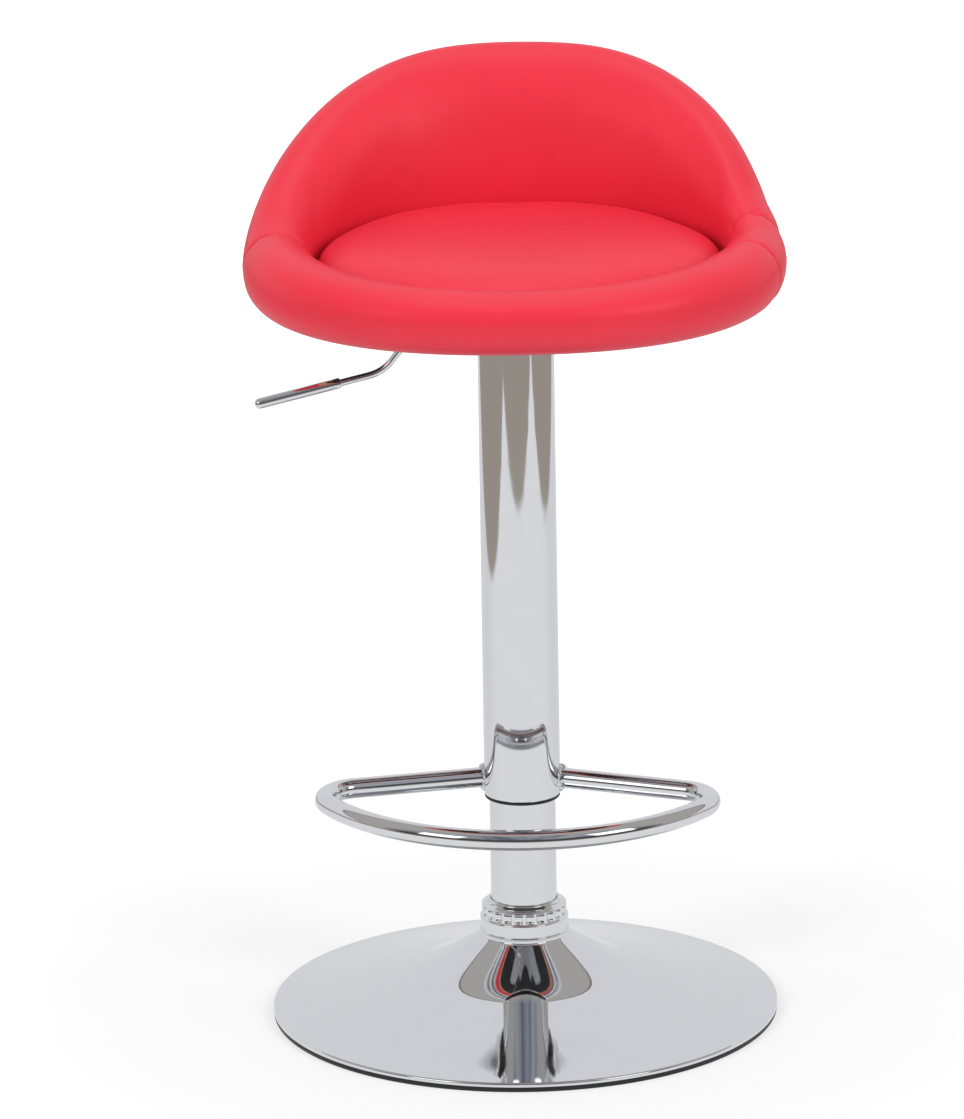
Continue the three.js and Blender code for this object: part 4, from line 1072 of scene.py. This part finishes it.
def make_floor():
    """White to the eye but for a faint shadow. In the chrome it is a paper sheet on a bare floor."""
    start_clean()
    bpy.ops.mesh.primitive_plane_add(size=FLOOR_SIZE, location=(0, 0, 0))
    floor = name_piece("studio_floor")
    material = bpy.data.materials.new("studio_floor")
    material.use_nodes = True
    tree = material.node_tree
    tree.nodes.clear()
    place = object_place(tree)
    axes = add_node(tree, "ShaderNodeSeparateXYZ", {"Vector": place})
    x, y = axes.outputs["X"], axes.outputs["Y"]
    sides = combine(tree, edge_fade(tree, x, -SHEET_LEFT, 0.0, 1.0), edge_fade(tree, x, SHEET_RIGHT, 1.0, 0.0))
    sheet = combine(tree, edge_fade(tree, y, -SHEET_FRONT, 0.0, 1.0), sides)
    path = add_node(tree, "ShaderNodeLightPath")
    distance = add_node(tree, "ShaderNodeVectorMath", {0: place}, operation="LENGTH").outputs["Value"]
    glow_strength = spread(tree, distance, 0.35, 1.6, 0.55, 1.0)
    glow = add_node(tree, "ShaderNodeEmission", {"Color": WHITE, "Strength": glow_strength})
    paper = add_node(tree, "ShaderNodeBsdfDiffuse", {"Color": rgba(0.42, 0.42, 0.42)})
    lit = add_node(tree, "ShaderNodeAddShader", {0: glow.outputs[0], 1: paper.outputs[0]})
    white = mix_colours(tree, spread(tree, y, -0.3, 0.4, 0.0, 1.0), NEAR_SHEET, BACKDROP)
    seen = add_node(tree, "ShaderNodeEmission", {"Color": mix_colours(tree, sheet, BARE_FLOOR, white)})
    plain = add_node(tree, "ShaderNodeBsdfDiffuse", {"Color": rgba(0.8, 0.8, 0.8)})
    glossy = mix_shaders(tree, path.outputs["Is Glossy Ray"], plain.outputs[0], seen.outputs[0])
    both = mix_shaders(tree, path.outputs["Is Camera Ray"], glossy, lit.outputs[0])
    add_node(tree, "ShaderNodeOutputMaterial", {"Surface": both})
    floor.data.materials.append(material)


def set_world():
    """White to the eye, even light on the object, and a plain room for the chrome to mirror."""
    world = bpy.data.worlds.new("studio")
    bpy.context.scene.world = world
    world.use_nodes = True
    tree = world.node_tree
    tree.nodes.clear()
    path = add_node(tree, "ShaderNodeLightPath")
    direction = add_node(tree, "ShaderNodeTexCoord").outputs["Generated"]
    axes = add_node(tree, "ShaderNodeSeparateXYZ", {"Vector": direction})
    x, y, z = (axes.outputs[axis] for axis in "XYZ")

    def along(vector):
        inputs = {0: direction, 1: vector}
        return add_node(tree, "ShaderNodeVectorMath", inputs, operation="DOT_PRODUCT").outputs["Value"]

    def window(aim):
        """A soft-edged rectangle round a direction."""
        ahead = Vector(aim).normalized()
        side = ahead.cross(Vector((0, 0, 1))).normalized()
        depth = combine(tree, along(ahead), 0.05, "MAXIMUM")
        shares = []
        for axis, half in zip((side, side.cross(ahead)), WINDOW_HALF_SIZE):
            offset = combine(tree, along(axis), depth, "DIVIDE")
            size = add_node(tree, "ShaderNodeMath", {0: offset}, operation="ABSOLUTE").outputs[0]
            shares.append(spread(tree, size, half, half * 0.8, 0.0, 1.0))
        return combine(tree, *shares)

    def background(colour, strength=1.0):
        return add_node(tree, "ShaderNodeBackground", {"Color": colour, "Strength": strength}).outputs[0]

    # The backdrop ends at a dark rail. Above it, and in front, is the room.
    over = combine(tree, y, combine(tree, z, RAIL_SLOPE), "SUBTRACT")
    room = mix_colours(tree, spread(tree, over, 0.0, 0.012, 0.0, 1.0), RAIL, BACKDROP)
    room = mix_colours(tree, spread(tree, over, -0.012, -0.022, 0.0, 1.0), room, OVERHEAD)
    front = spread(tree, y, -0.25, -0.45, 0.0, 1.0)
    middle = spread(tree, z, 0.95, 0.78, 0.0, 1.0)
    low = spread(tree, z, 0.40, 0.30, 0.0, 1.0)
    across = add_node(tree, "ShaderNodeCombineXYZ", {"X": x, "Z": combine(tree, z, 0.15)}).outputs[0]
    hangings = spread(tree, noise_texture(tree, 5.5, 2.0, 0.5, across), 0.35, 0.65, 0.0, 1.0)
    wall = mix_colours(tree, hangings, DARK_HANGING, PALE_HANGING)
    room = mix_colours(tree, combine(tree, front, middle), room, wall)
    room = mix_colours(tree, combine(tree, front, low), room, LOW_FRONT)
    for aim in WINDOWS:
        room = mix_colours(tree, window(aim), room, WINDOW_LIGHT)
    inner = mix_shaders(tree, path.outputs["Is Glossy Ray"], background(WHITE, SOFT_LIGHT), background(room))
    outer = mix_shaders(tree, path.outputs["Is Camera Ray"], inner, background(WHITE))
    add_node(tree, "ShaderNodeOutputWorld", {"Surface": outer})


def light_studio():
    for name, place, size, power in SOFTBOXES:
        data = bpy.data.lights.new(name, "AREA")
        data.shape = "RECTANGLE"
        data.size, data.size_y = size
        data.energy = power
        light = bpy.data.objects.new(name, data)
        bpy.context.scene.collection.objects.link(light)
        light.visible_glossy = False
        light.location = place
        light.rotation_euler = (LIGHT_TARGET - Vector(place)).to_track_quat("-Z", "Y").to_euler()


dress_frame_nodes()
make_base_dish()
make_floor_ring()
make_collar()
make_column()
make_sleeve()
make_footrest()
make_lever()
make_seat()
make_under_cover()
make_floor()
set_world()
light_studio()

bpy.context.scene.view_settings.view_transform = "Standard"
